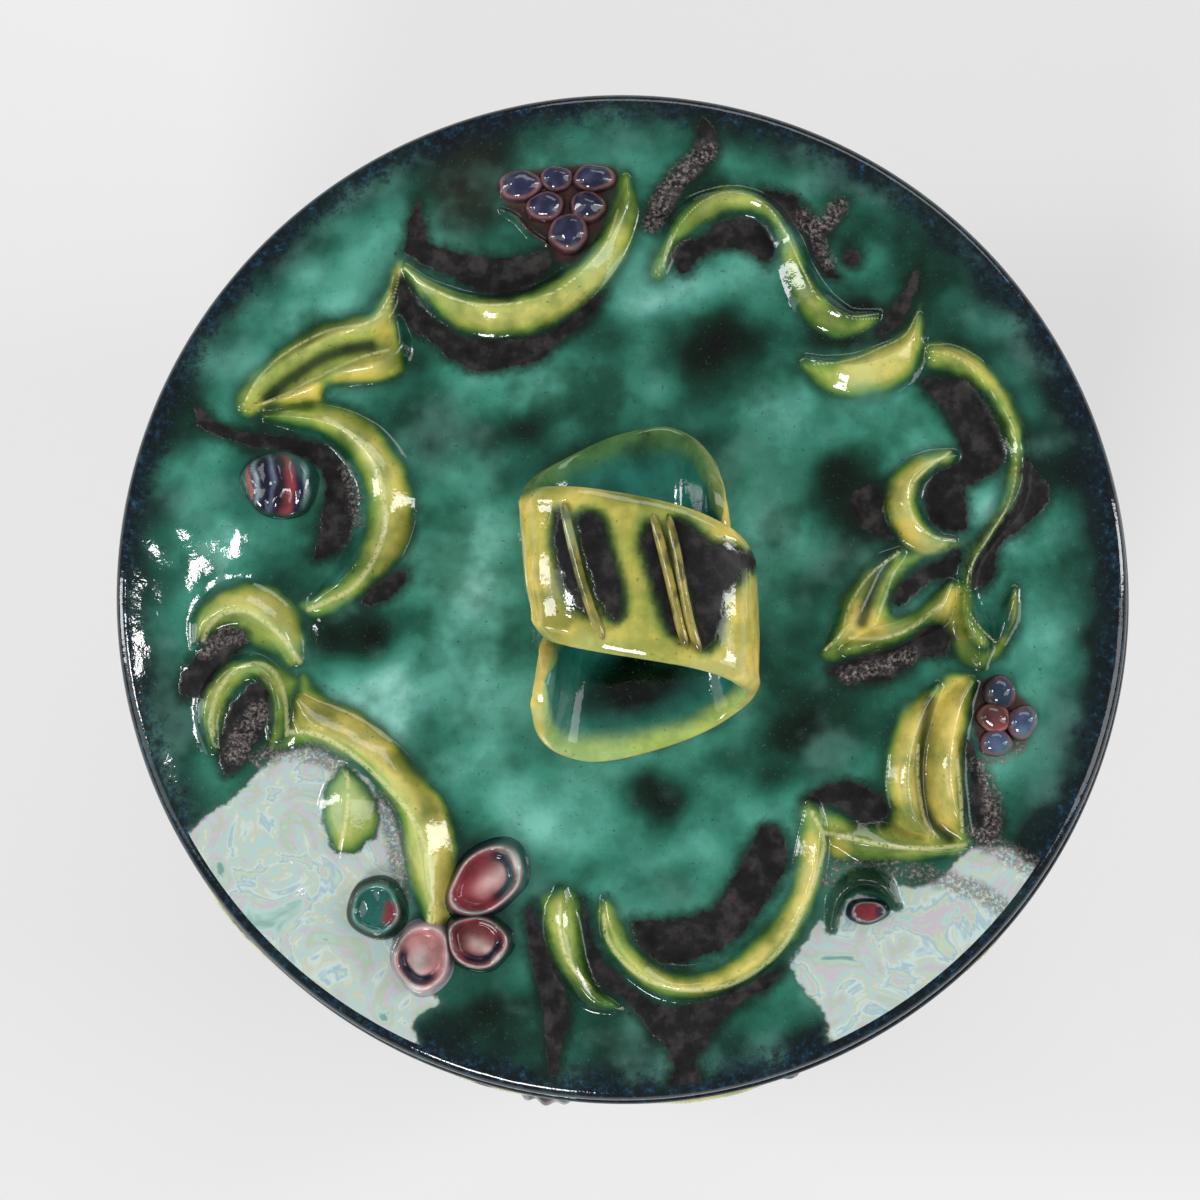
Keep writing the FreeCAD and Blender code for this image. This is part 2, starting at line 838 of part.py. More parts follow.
def strap_section(centre, across, out, half_width):
    """Rounded outline of the strap, square to its run."""
    points = []
    for number in range(strap_section_points):
        angle = 2 * math.pi * number / strap_section_points
        wide = half_width * squared(math.cos(angle), strap_squareness)
        thick = strap_thickness / 2 * squared(math.sin(angle), strap_squareness)
        points.append(centre + across * wide + out * thick)
    half = strap_section_points // 2
    outer_face = smooth_line(points[: half + 1]).toShape()
    inner_face = smooth_line(points[half:] + points[:1]).toShape()
    return Part.Wire([outer_face, inner_face])


def handle_strap(plate):
    settings, frames, line = strap_line()
    wires = [strap_section(centre, *strap_ways(line, centre), width / 2) for centre, width in frames]
    blank = Part.makeLoft(wires, True, False)
    return outermost(blank.cut(plate), strap_loop_centre(), FreeCAD.Vector(0, 0, 1))


def handle_veins(strap):
    """Two pinched ridges across the crown of the strap."""
    settings, frames, line = strap_line()
    up = FreeCAD.Vector(0, 0, 1)
    solids = []
    for places in vein_shares:
        stations = []
        for number, (turn, place) in enumerate(places):
            centre, width = strap_frame(turn, settings)
            across, out = strap_ways(line, centre)
            rise = strap_thickness / 2 * (1 - abs(place) ** strap_squareness) ** (1 / strap_squareness)
            crest = vein_height if 0 < number < len(places) - 1 else vein_height / 2
            point = centre + out * rise + across * (place * width / 2)
            stations.append((point, out, vein_width / 2, crest))
        blank = strip(stations, 0, strap_thickness / 2)
        solids.append(outermost(blank.cut(strap), strap_loop_centre(), up))
    return Part.makeCompound(solids)


def lid_nodes():
    plate = lid_plate()
    strap = handle_strap(plate)
    nodes = {
        "lid_plate": plate,
        "lid_flange": lid_flange(plate),
        "handle_strap": strap,
        "handle_veins": handle_veins(strap),
    }
    placed = []
    strips = {
        "grape_crescent": grape_crescent_shares,
        "grape_tendril": grape_tendril_shares,
        "leaf_back_ridge": leaf_back_ridge_shares,
        "leaf_front_ridge": leaf_front_ridge_shares,
        "bud_crescent": bud_crescent_shares,
        "back_loop": back_loop_shares,
        "front_loop": front_loop_shares,
        "flower_stem": flower_stem_shares,
        "oval_leaf": oval_leaf_shares,
        "short_rib": short_rib_shares,
        "front_sickle": front_sickle_shares,
        "inner_lobe": inner_lobe_shares,
        "outer_lobe": outer_lobe_shares,
        "right_rib": right_rib_shares,
        "right_bud_hood": right_bud_hood_shares,
        "curl_leaf": curl_leaf_shares,
        "fan_left_ridge": fan_left_ridge_shares,
        "fan_front_ridge": fan_front_ridge_shares,
        "tall_scroll": tall_scroll_shares,
        "drop_leaf": drop_leaf_shares,
        "drop_spur": drop_spur_shares,
        "back_scroll": back_scroll_shares,
        "yellow_leaf": yellow_leaf_shares,
    }
    for name, shares in strips.items():
        nodes[name] = lid_strip(shares, plate, placed)
    nodes["flower_petals"] = lid_pellets(flower_petals_shares, plate, placed, petal)
    nodes["flower_side_bud"] = lid_pellets(flower_side_bud_shares, plate, placed, pellet)
    nodes["left_bud"] = lid_pellets(left_bud_shares, plate, placed, petal)
    nodes["right_bud_heart"] = lid_pellets(right_bud_heart_shares, plate, placed, pellet)
    nodes["grape_berries"] = lid_pellets(grape_berries_shares, plate, placed, pellet)
    nodes["right_berries"] = lid_pellets(right_berries_shares, plate, placed, pellet)
    shift = FreeCAD.Vector(lid_shift_x, lid_shift_y, 0)
    return {name: shape.translated(shift) for name, shape in nodes.items()}


def jar_nodes():
    wall = jar_wall()
    placed = []
    nodes = {"jar_wall": wall, "foot_ring": foot_ring()}
    strips = {
        "body_scrolls": body_scrolls_shares,
        "body_crescents": body_crescents_shares,
        "body_waves": body_waves_shares,
        "body_curls": body_curls_shares,
        "body_spurs": body_spurs_shares,
        "body_leaves": body_leaves_shares,
        "body_sickles": body_sickles_shares,
        "body_low_leaves": body_low_leaves_shares,
    }
    for name, shares in strips.items():
        nodes[name] = jar_strips(shares, wall, placed)
    nodes["body_berries"] = jar_pellets(body_berries_shares, wall, placed, pellet)
    nodes["body_buds"] = jar_pellets(body_buds_shares, wall, placed, petal)
    return nodes


os.makedirs("parts", exist_ok=True)
all_nodes = {**jar_nodes(), **lid_nodes()}
for node_name, node_shape in all_nodes.items():
    node_shape.exportStep("parts/" + node_name + ".step")
    print(node_name, len(node_shape.Solids), round(node_shape.Volume), node_shape.isValid())
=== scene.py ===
# A lidded pot of glazed earthenware with a raised garland, seen from above its lid.
# Lengths are in millimetres until a mesh is made, and colours are written as 0 to 255.
import json
import math

import bpy
import numpy as np
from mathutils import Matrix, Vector


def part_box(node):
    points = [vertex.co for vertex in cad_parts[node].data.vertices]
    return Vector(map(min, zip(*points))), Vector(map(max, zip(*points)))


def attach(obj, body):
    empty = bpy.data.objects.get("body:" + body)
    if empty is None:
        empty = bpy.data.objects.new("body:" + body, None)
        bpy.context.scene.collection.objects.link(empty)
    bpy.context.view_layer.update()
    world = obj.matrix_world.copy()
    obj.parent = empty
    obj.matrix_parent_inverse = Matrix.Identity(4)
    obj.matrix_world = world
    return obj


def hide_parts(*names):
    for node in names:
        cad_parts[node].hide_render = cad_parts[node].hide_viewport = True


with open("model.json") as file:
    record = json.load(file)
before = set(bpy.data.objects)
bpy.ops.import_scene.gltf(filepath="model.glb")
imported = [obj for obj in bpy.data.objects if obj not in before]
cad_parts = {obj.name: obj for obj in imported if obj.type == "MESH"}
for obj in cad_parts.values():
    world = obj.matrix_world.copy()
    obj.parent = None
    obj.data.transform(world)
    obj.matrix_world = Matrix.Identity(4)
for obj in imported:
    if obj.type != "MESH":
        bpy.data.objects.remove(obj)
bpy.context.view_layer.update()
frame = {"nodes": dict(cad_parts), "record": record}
MM = 0.001


def node_box(name):
    low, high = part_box(name)
    return np.array(low) / MM, np.array(high) / MM


lid_low, lid_high = node_box("lid_plate")
wall_low, wall_high = node_box("jar_wall")

# Lid plate: a low dome with a rounded edge
lid_centre = (lid_low + lid_high)[:2] / 2
lid_radius = (lid_high - lid_low)[0] / 2
lid_base_z = lid_low[2]
lid_top_z = lid_high[2]
lid_edge_thickness = 5.5
lid_edge_round = 2.2
lid_under_round = 1.0
lid_thickness = 6.5
lid_edge_z = lid_base_z + lid_edge_thickness
lid_rise = lid_top_z - lid_edge_z
dome_span = lid_radius - lid_edge_round
dome_radius = (dome_span**2 + lid_rise**2) / (2 * lid_rise)
dome_centre_z = lid_top_z - dome_radius
dome_under_radius = dome_radius - lid_thickness
dome_under_reach = math.sqrt(dome_under_radius**2 - (lid_base_z - dome_centre_z) ** 2)

# Jar wall: a barrel with a flared rim
jar_height = wall_high[2]
rim_radius = wall_high[0]
rim_height = 9.0
rim_side_height = 4.0
rim_edge_round = 1.2
rim_flare_sag = 0.8
belly_radius = 94.3
belly_height = 108.0
barrel_round_radius = 280.0
jar_wall_thickness = 6.0
base_z = wall_low[2]
base_round_radius = 24.0
barrel_centre_r = belly_radius - barrel_round_radius
base_round_z = base_z + base_round_radius
base_round_span = barrel_round_radius - base_round_radius
base_round_r = barrel_centre_r + math.sqrt(base_round_span**2 - (belly_height - base_round_z) ** 2)
garland_lengths = 3
garland_length = 2 * math.pi * belly_radius / garland_lengths

# Strap handle, and the small ridges on its crown
strap_thickness = 4.0
strap_squareness = 3.2
vein_width = 1.8
vein_height = 1.3

# Strips of the garland: lean, and stations of across, up, half width and crest in thousandths
# of the lid's radius. On the jar, across is in thousandths of the garland's length and up of
# the jar's height, and the rest are in thousandths of the belly's radius.
lid_strip_shares = {
    "grape_crescent": (0.25, (
        (-430, 640, 8, 12), (-385, 590, 26, 30), (-310, 550, 38, 40), (-240, 540, 43, 44),
        (-150, 563, 43, 44), (-73, 620, 38, 42), (-18, 690, 30, 38), (14, 765, 20, 30), (10, 820, 8, 14),
    )),
    "grape_tendril": (0.0, (
        (-240, 758, 6, 10), (-210, 740, 8, 14), (-182, 708, 8, 14), (-150, 688, 6, 10),
    )),
    "leaf_back_ridge": (0.0, (
        (-452, 622, 10, 16), (-463, 577, 18, 28), (-499, 526, 24, 34), (-574, 496, 22, 30),
        (-651, 456, 20, 28), (-713, 411, 20, 26), (-745, 367, 12, 14),
    )),
    "leaf_front_ridge": (0.0, (
        (-444, 530, 14, 16), (-440, 474, 26, 32), (-479, 440, 28, 36), (-549, 425, 24, 34),
        (-608, 395, 22, 32), (-667, 375, 16, 24), (-717, 367, 8, 12),
    )),
    "bud_crescent": (-0.1, (
        (-700, 343, 10, 14), (-638, 340, 24, 28), (-562, 321, 36, 38), (-503, 278, 48, 44),
        (-467, 219, 54, 46), (-461, 149, 56, 46), (-483, 80, 52, 44), (-535, 17, 38, 36),
        (-602, -29, 14, 18),
    )),
    "back_loop": (-0.3, (
        (-836, -106, 12, 16), (-822, -60, 26, 30), (-784, -31, 36, 36), (-737, -25, 40, 40),
        (-689, -49, 38, 40), (-657, -88, 30, 34), (-638, -136, 14, 18),
    )),
    "front_loop": (0.0, (
        (-804, -310, 14, 14), (-814, -258, 20, 24), (-804, -205, 24, 30), (-770, -164, 24, 32),
        (-725, -152, 24, 34), (-690, -178, 26, 34), (-673, -228, 24, 32), (-677, -284, 16, 20),
    )),
    "flower_stem": (-0.2, (
        (-630, -222, 18, 18), (-592, -262, 40, 34), (-515, -304, 44, 40), (-450, -358, 45, 42),
        (-404, -429, 46, 42), (-382, -504, 47, 42), (-372, -581, 40, 40), (-366, -655, 24, 28),
    )),
    "oval_leaf": (-0.1, (
        (-547, -350, 10, 8), (-541, -383, 40, 24), (-537, -429, 54, 30), (-539, -480, 42, 24),
        (-549, -518, 10, 8),
    )),
    "short_rib": (0.0, (
        (-119, -592, 14, 16), (-119, -641, 32, 32), (-111, -700, 34, 36), (-93, -754, 32, 32),
        (-59, -801, 24, 22), (-8, -823, 10, 8),
    )),
    "front_sickle": (-0.2, (
        (-28, -612, 14, 16), (-10, -670, 30, 30), (30, -730, 34, 36), (95, -769, 34, 40),
        (178, -763, 34, 42), (257, -720, 36, 42), (323, -651, 34, 42), (360, -567, 32, 40),
        (374, -488, 28, 36), (374, -425, 14, 18),
    )),
    "right_rib": (-0.2, (
        (422, -486, 20, 20), (475, -492, 42, 32), (541, -504, 30, 34), (610, -512, 22, 30),
        (673, -508, 10, 14),
    )),
    "inner_lobe": (0.0, (
        (618, -191, 10, 12), (584, -245, 24, 28), (560, -310, 30, 36), (552, -383, 33, 42),
        (564, -443, 30, 40), (594, -482, 14, 20),
    )),
    "outer_lobe": (0.0, (
        (685, -183, 12, 14), (657, -231, 28, 32), (639, -298, 34, 40), (634, -373, 35, 44),
        (647, -437, 30, 40), (672, -480, 12, 18),
    )),
    "right_bud_hood": (-0.1, (
        (408, -666, 12, 16), (418, -609, 18, 30), (455, -573, 26, 38), (503, -579, 26, 36),
        (535, -619, 14, 20),
    )),
    "curl_leaf": (0.1, (
        (653, 264, 14, 14), (600, 248, 24, 26), (560, 213, 34, 36), (550, 165, 38, 42), (574, 118, 32, 40),
        (618, 92, 20, 30), (652, 96, 8, 12),
    )),
    "fan_left_ridge": (0.0, (
        (545, 70, 12, 14), (503, 36, 28, 26), (477, -13, 36, 34), (451, -66, 36, 38), (410, -112, 14, 18),
    )),
    "fan_front_ridge": (0.0, (
        (442, -120, 16, 20), (501, -106, 26, 32), (566, -82, 22, 30), (617, -43, 30, 34), (645, 7, 14, 18),
    )),
    "tall_scroll": (0.1, (
        (612, 472, 14, 14), (659, 456, 26, 28), (725, 401, 28, 34), (766, 322, 26, 36), (780, 244, 24, 36),
        (764, 177, 28, 34), (719, 118, 26, 30), (685, 58, 20, 26), (677, 6, 16, 20),
    )),
    "drop_leaf": (0.0, ((681, -16, 18, 20), (683, -60, 32, 32), (697, -106, 34, 36), (703, -150, 12, 14))),
    "drop_spur": (0.0, ((742, -100, 12, 16), (756, -53, 20, 22), (772, -1, 8, 10))),
    "back_scroll": (0.2, (
        (79, 637, 14, 14), (97, 696, 24, 28), (145, 747, 34, 36), (220, 773, 30, 38), (283, 757, 26, 34),
        (325, 700, 26, 34), (346, 627, 34, 38), (382, 565, 38, 42), (442, 532, 28, 36), (505, 545, 10, 12),
    )),
    "yellow_leaf": (0.25, (
        (362, 455, 10, 12), (408, 433, 28, 28), (471, 423, 44, 38), (537, 444, 46, 40), (575, 487, 32, 34),
        (588, 540, 12, 12),
    )),
}
body_strip_shares = {
    "body_scrolls": (0.2, (
        (30, 310, 12, 14), (55, 390, 30, 32), (105, 445, 40, 40), (170, 470, 42, 42), (235, 500, 36, 40),
        (285, 560, 36, 40), (325, 635, 42, 42), (375, 705, 40, 40), (435, 745, 28, 30), (495, 745, 10, 12),
    )),
    "body_crescents": (0.2, (
        (505, 600, 12, 14), (515, 525, 30, 32), (546, 455, 42, 42), (593, 402, 48, 46), (645, 385, 50, 48),
        (697, 402, 46, 46), (744, 455, 38, 42), (775, 525, 26, 32), (785, 600, 12, 14),
    )),
    "body_waves": (0.2, (
        (565, 715, 12, 14), (600, 755, 30, 34), (650, 785, 40, 48), (700, 785, 40, 48), (750, 770, 36, 44),
        (805, 785, 42, 52), (855, 755, 40, 44), (888, 690, 30, 34), (900, 620, 12, 14),
    )),
    "body_curls": (-0.2, (
        (83, 600, 12, 12), (78, 670, 30, 30), (108, 738, 38, 38), (164, 772, 40, 40), (222, 758, 32, 36),
        (256, 712, 22, 28), (267, 660, 10, 12),
    )),
    "body_spurs": (0.2, (
        (354, 600, 12, 12), (350, 545, 26, 28), (370, 490, 34, 34), (408, 460, 34, 36), (448, 464, 24, 28),
        (474, 495, 10, 12),
    )),
    "body_leaves": (0.0, (
        (855, 540, 12, 12), (865, 500, 40, 26), (885, 440, 62, 34), (905, 380, 56, 34), (925, 325, 12, 12),
    )),
    "body_sickles": (-0.2, (
        (670, 270, 12, 12), (710, 225, 30, 30), (770, 200, 40, 38), (840, 195, 42, 40), (910, 210, 36, 36),
        (960, 245, 26, 28), (985, 300, 10, 12),
    )),
    "body_low_leaves": (-0.2, (
        (255, 370, 10, 12), (300, 310, 34, 30), (360, 265, 46, 38), (430, 245, 46, 38), (500, 255, 34, 30),
        (550, 285, 10, 12),
    )),
}

# Camera of the photograph, which looks down on the lid from a little in front of it
frame_px = 1200
sensor_width = 36.0
lens = 144.0
camera_distance = 900.0
camera_elevation = math.radians(84)
lid_centre_px = (622.0, 591.0)
focal_px = lens / sensor_width * frame_px
camera_back = np.array((0.0, -math.cos(camera_elevation), math.sin(camera_elevation)))
camera_right = np.array((1.0, 0.0, 0.0))
camera_up = np.cross(camera_back, camera_right)
lid_middle = np.array((lid_centre[0], lid_centre[1], lid_edge_z))
camera_place = (
    lid_middle
    + camera_back * camera_distance
    - camera_right * (lid_centre_px[0] - frame_px / 2) * camera_distance / focal_px
    - camera_up * (frame_px / 2 - lid_centre_px[1]) * camera_distance / focal_px
)
px_size = camera_distance / focal_px


def seen_at(points):
    """Pixels of the photograph at which points are seen."""
    away = points - camera_place
    depth = -(away @ camera_back)
    across = frame_px / 2 + focal_px * (away @ camera_right) / depth
    down = frame_px / 2 - focal_px * (away @ camera_up) / depth
    return np.stack((across, down), -1)


def place_at(seen, height):
    """Point at a height that is seen at a pixel of the photograph."""
    ray = (
        camera_right * (seen[..., :1] - frame_px / 2)
        + camera_up * (frame_px / 2 - seen[..., 1:2])
        - camera_back * focal_px
    )
    return camera_place + ray * ((height - camera_place[2]) / ray[..., 2])[..., None]


# Patches of dull black glaze on the lid, as outlines in pixels of the photograph
black_patches_px = {
    "over grapes crescent": (
        (418, 198), (428, 240), (450, 250), (490, 257), (520, 257), (545, 250), (552, 262), (535, 283),
        (500, 296), (455, 280), (410, 256), (404, 245),
    ),
    "under grapes crescent": (
        (398, 284), (405, 282), (418, 300), (440, 322), (465, 337), (500, 341), (530, 337), (560, 325),
        (590, 300), (605, 292), (600, 305), (575, 332), (555, 345), (540, 360), (510, 368), (480, 372),
        (455, 362), (430, 340), (410, 330), (400, 310),
    ),
    "inside bud crescent": (
        (197, 403), (205, 412), (220, 425), (245, 432), (290, 437), (320, 445), (335, 455), (345, 470),
        (352, 485), (355, 505), (352, 530), (345, 545), (330, 555), (312, 560), (318, 540), (322, 515),
        (325, 490), (320, 470), (305, 458), (280, 450), (250, 448), (225, 437), (205, 430), (197, 420),
    ),
    "right of bud crescent": ((362, 600), (388, 576), (408, 572), (400, 590), (372, 606)),
    "back loop": (
        (180, 690), (185, 670), (200, 650), (215, 632), (232, 625), (245, 635), (240, 650), (225, 662),
        (212, 680), (200, 695), (185, 697),
    ),
    "front loop": (
        (222, 770), (222, 735), (230, 710), (245, 690), (258, 680), (268, 690), (268, 715), (262, 740),
        (245, 760), (232, 772),
    ),
    "back scroll inside": (
        (672, 258), (680, 245), (700, 238), (720, 222), (745, 217), (760, 222), (772, 238), (775, 250),
        (768, 265), (755, 256), (745, 250), (715, 250), (700, 258), (690, 272), (678, 272),
    ),
    "back scroll drip": (
        (645, 218), (662, 184), (692, 152), (702, 118), (716, 136), (712, 162), (684, 188), (670, 218),
        (655, 230),
    ),
    "back scroll right": (
        (762, 190), (792, 196), (812, 216), (824, 222), (838, 202), (842, 212), (826, 238), (824, 258),
        (840, 276), (822, 274), (806, 240), (782, 212),
    ),
    "blotch": ((845, 252), (858, 250), (860, 264), (846, 264)),
    "tall scroll inside": (
        (920, 380), (950, 378), (975, 390), (990, 410), (1003, 440), (1003, 465), (985, 478), (965, 490),
        (968, 515), (965, 530), (945, 530), (930, 518), (925, 500), (928, 482), (940, 470), (960, 462),
        (958, 440), (948, 415), (930, 395),
    ),
    "tall scroll right": (
        (1024, 460), (1040, 475), (1050, 492), (1040, 512), (1020, 530), (1000, 545), (995, 570),
        (985, 588), (972, 582), (970, 560), (980, 540), (1000, 522), (1015, 505), (1022, 485),
    ),
    "fan": (
        (893, 600), (900, 585), (915, 572), (940, 560), (958, 548), (960, 560), (950, 578), (930, 582),
        (915, 595), (900, 608),
    ),
    "under fan": (
        (830, 668), (850, 660), (880, 650), (910, 640), (925, 628), (940, 625), (950, 635), (945, 655),
        (920, 658), (905, 672), (880, 682), (850, 684), (835, 678),
    ),
    "left of lobes": (
        (805, 800), (820, 787), (845, 782), (868, 787), (885, 802), (887, 815), (875, 822), (855, 818),
        (840, 808), (820, 803),
    ),
    "right of lobes": ((966, 742), (976, 752), (986, 786), (1002, 828), (992, 842), (976, 836), (970, 785)),
    "over sickle": (
        (632, 922), (645, 952), (670, 965), (720, 950), (752, 922), (784, 872), (784, 838), (772, 824),
        (758, 832), (740, 866), (714, 906), (685, 918), (652, 920),
    ),
    "under sickle": (
        (584, 900), (592, 934), (606, 962), (650, 1001), (685, 1004), (722, 996), (780, 968), (768, 988),
        (742, 1002), (722, 1022), (706, 1045), (697, 1062), (700, 1082), (688, 1090), (668, 1085),
        (674, 1064), (655, 1035), (620, 996), (592, 975),
    ),
    "short rib drip": (
        (532, 905), (548, 950), (562, 984), (571, 1012), (562, 1042), (556, 1074), (548, 1070), (544, 1010),
        (532, 962), (526, 925),
    ),
    "curl": ((850, 500), (866, 486), (882, 490), (884, 520), (894, 540), (876, 536), (856, 522)),
    "end of back scroll": ((882, 322), (900, 296), (918, 268), (914, 296), (896, 326), (878, 334)),
}
# Dark grooves in the garland: half width and run
groove_px = (
    (4, ((268, 398), (280, 386), (300, 372), (322, 358), (345, 350), (370, 346))),
    (3, ((402, 285), (400, 310), (404, 335))),
    (3, ((326, 396), (345, 388), (375, 388), (402, 380), (422, 374))),
    (3, ((786, 305), (795, 328), (812, 342), (838, 345), (866, 334), (890, 318))),
    (3, ((930, 700), (922, 745), (922, 790), (930, 820), (950, 838))),
    (4, ((888, 560), (872, 590), (862, 622))), (3, ((905, 596), (925, 585), (946, 570))),
)
# Patches of pearly lustre
lustre_patches_px = {
    "left": (
        (190, 832), (238, 792), (268, 762), (300, 748), (335, 758), (366, 778), (394, 822), (404, 872),
        (396, 918), (392, 955), (418, 985), (440, 1002), (414, 1020), (412, 1048), (330, 1040), (230, 950),
        (180, 870),
    ),
    "right": (
        (965, 850), (1000, 846), (1032, 866), (1050, 890), (1000, 970), (930, 1030), (836, 1046),
        (826, 1016), (792, 972), (800, 948), (838, 900), (870, 884), (920, 886), (950, 870),
    ),
}
# Pale (above zero) and dark (below zero) pools of glaze: middle, half sizes and strength
pools_px = (
    (400, 695, 75, 50, 1.0), (455, 560, 70, 75, 0.6), (560, 800, 90, 55, 0.6), (690, 292, 80, 32, 0.7),
    (310, 300, 75, 35, 0.5), (560, 385, 60, 30, 0.5), (780, 480, 38, 110, 0.5), (700, 862, 40, 35, 0.5),
    (985, 505, 22, 30, 0.8), (1030, 640, 40, 60, 0.3), (190, 480, 30, 60, 0.2), (880, 620, 40, 30, 0.4),
    (470, 165, 45, 70, -0.8), (735, 350, 66, 46, -0.65), (470, 430, 60, 45, -0.6), (560, 290, 60, 60, -0.5),
    (655, 792, 26, 26, -0.9), (740, 770, 45, 25, -0.6), (815, 600, 45, 60, -0.6), (840, 720, 75, 40, -0.6),
    (370, 625, 44, 34, -0.9), (600, 460, 50, 40, -0.6), (500, 850, 40, 40, -0.5), (1060, 430, 50, 90, -0.4),
    (900, 300, 45, 60, -0.6), (850, 500, 35, 60, -0.5), (600, 1040, 140, 40, -0.4),
    (180, 705, 40, 40, -0.4), (470, 1040, 50, 50, -0.3), (840, 325, 36, 24, -1.2),
)
# Low mounds of the ground: middle, spread, and rise in millimetres
mounds_px = ((262, 524, 44, 2.3),)
# Stains of other glaze on the ground: middle, half sizes, strength and colour
stains_px = (
    (235, 490, 22, 30, 0.6, (20, 96, 84)), (470, 905, 60, 60, 0.6, (40, 24, 36)),
    (470, 165, 50, 70, 0.6, (44, 46, 36)), (880, 620, 30, 60, 0.3, (60, 84, 58)),
)
# Where the garland's yellow and green glaze lies
garland_px = {
    "grape crescent": (
        (400, 262), (412, 262), (430, 278), (460, 292), (500, 297), (540, 288), (570, 270), (590, 250),
        (605, 225), (614, 200), (620, 176), (628, 172), (636, 195), (640, 215), (634, 240), (622, 265),
        (604, 288), (580, 310), (550, 328), (520, 338), (490, 338), (460, 330), (440, 318), (425, 300),
        (412, 288),
    ),
    "leaf": (
        (398, 258), (405, 262), (404, 280), (398, 300), (397, 330), (402, 345), (404, 365), (398, 378),
        (380, 384), (350, 386), (332, 386), (325, 392), (322, 402), (300, 410), (280, 405), (262, 412),
        (250, 418), (240, 415), (236, 405), (240, 390), (250, 375), (262, 366), (280, 350), (300, 336),
        (325, 322), (350, 318), (368, 312), (380, 300), (386, 285), (392, 268),
    ),
    "bud crescent": (
        (262, 412), (285, 402), (322, 402), (345, 408), (365, 418), (385, 438), (402, 462), (412, 490),
        (413, 520), (408, 545), (395, 565), (370, 590), (340, 608), (320, 618), (305, 612), (300, 604),
        (315, 595), (335, 585), (352, 568), (362, 545), (368, 520), (366, 490), (355, 465), (335, 442),
        (310, 428), (280, 424), (262, 420),
    ),
    "back loop": (
        (196, 640), (195, 620), (202, 604), (220, 592), (245, 584), (268, 586), (285, 596), (298, 610),
        (303, 625), (306, 645), (303, 664), (290, 668), (275, 655), (255, 646), (235, 632), (215, 634),
    ),
    "front loop": (
        (200, 700), (205, 685), (220, 668), (240, 660), (262, 660), (280, 668), (300, 680), (292, 700),
        (290, 720), (286, 735), (275, 748), (268, 745), (272, 720), (268, 695), (255, 680), (238, 690),
        (228, 710), (222, 740), (218, 755), (208, 742), (202, 722),
    ),
    "flower stem": (
        (268, 748), (285, 735), (290, 715), (296, 690), (302, 672), (318, 690), (345, 705), (370, 718),
        (395, 740), (415, 770), (430, 785), (445, 800), (455, 830), (457, 860), (456, 890), (454, 925),
        (440, 935), (428, 930), (418, 905), (408, 880), (402, 850), (398, 815), (380, 790), (362, 768),
        (340, 755), (310, 745), (285, 750),
    ),
    "oval leaf": (
        (343, 766), (352, 770), (368, 785), (378, 805), (380, 825), (372, 840), (350, 853), (335, 852),
        (326, 835), (322, 805), (326, 785), (334, 772),
    ),
    "short rib": (
        (540, 900), (548, 892), (562, 888), (576, 895), (582, 915), (584, 940), (588, 965), (598, 985),
        (612, 998), (622, 1008), (605, 1008), (585, 1000), (572, 985), (556, 965), (545, 940), (540, 918),
    ),
    "front sickle": (
        (595, 915), (600, 902), (610, 900), (618, 915), (630, 940), (650, 962), (680, 975), (715, 970),
        (745, 950), (770, 925), (788, 895), (796, 860), (798, 825), (803, 800), (815, 802), (825, 822),
        (825, 850), (822, 880), (812, 910), (795, 940), (765, 970), (730, 990), (690, 1000), (655, 993),
        (625, 972), (605, 945),
    ),
    "rib and lobes": (
        (815, 802), (835, 812), (860, 822), (882, 825), (890, 812), (886, 795), (884, 770), (890, 740),
        (902, 712), (920, 695), (938, 682), (950, 672), (975, 675), (972, 700), (966, 740), (964, 790),
        (966, 830), (972, 842), (965, 852), (940, 858), (900, 862), (860, 862), (835, 858), (828, 845),
        (822, 830),
    ),
    "curl leaf": (
        (945, 448), (955, 458), (950, 468), (930, 472), (920, 485), (918, 505), (930, 525), (945, 537),
        (965, 540), (962, 550), (940, 556), (920, 556), (905, 548), (890, 525), (882, 505), (885, 485),
        (898, 468), (918, 455),
    ),
    "fan": (
        (830, 640), (845, 600), (862, 575), (885, 560), (905, 550), (925, 556), (905, 575), (890, 600),
        (895, 615), (920, 608), (945, 585), (960, 580), (966, 590), (962, 610), (970, 640), (985, 650),
        (1000, 640), (1010, 620), (1012, 585), (1020, 600), (1010, 640), (990, 665), (970, 668), (955, 655),
        (945, 635), (930, 625), (905, 640), (870, 655), (835, 662), (820, 655),
    ),
    "tall scroll": (
        (925, 345), (945, 342), (970, 350), (995, 375), (1012, 400), (1022, 430), (1024, 470), (1018, 500),
        (1000, 530), (985, 550), (975, 575), (972, 600), (975, 620), (990, 640), (985, 650), (970, 640),
        (960, 610), (962, 580), (970, 550), (985, 530), (1000, 505), (1008, 470), (1008, 440), (998, 410),
        (980, 390), (955, 375), (930, 370),
    ),
    "yellow leaf": (
        (800, 362), (830, 360), (870, 348), (900, 335), (915, 315), (920, 305), (924, 325), (922, 350),
        (912, 375), (890, 390), (860, 398), (830, 393), (812, 380),
    ),
    "back scroll": (
        (650, 278), (652, 262), (662, 245), (672, 225), (690, 202), (715, 187), (740, 186), (765, 198),
        (785, 222), (800, 250), (812, 280), (828, 302), (850, 315), (880, 315), (875, 328), (850, 338),
        (825, 335), (805, 318), (790, 290), (782, 260), (776, 235), (760, 215), (735, 212), (705, 222),
        (682, 240), (670, 265), (662, 280),
    ),
}
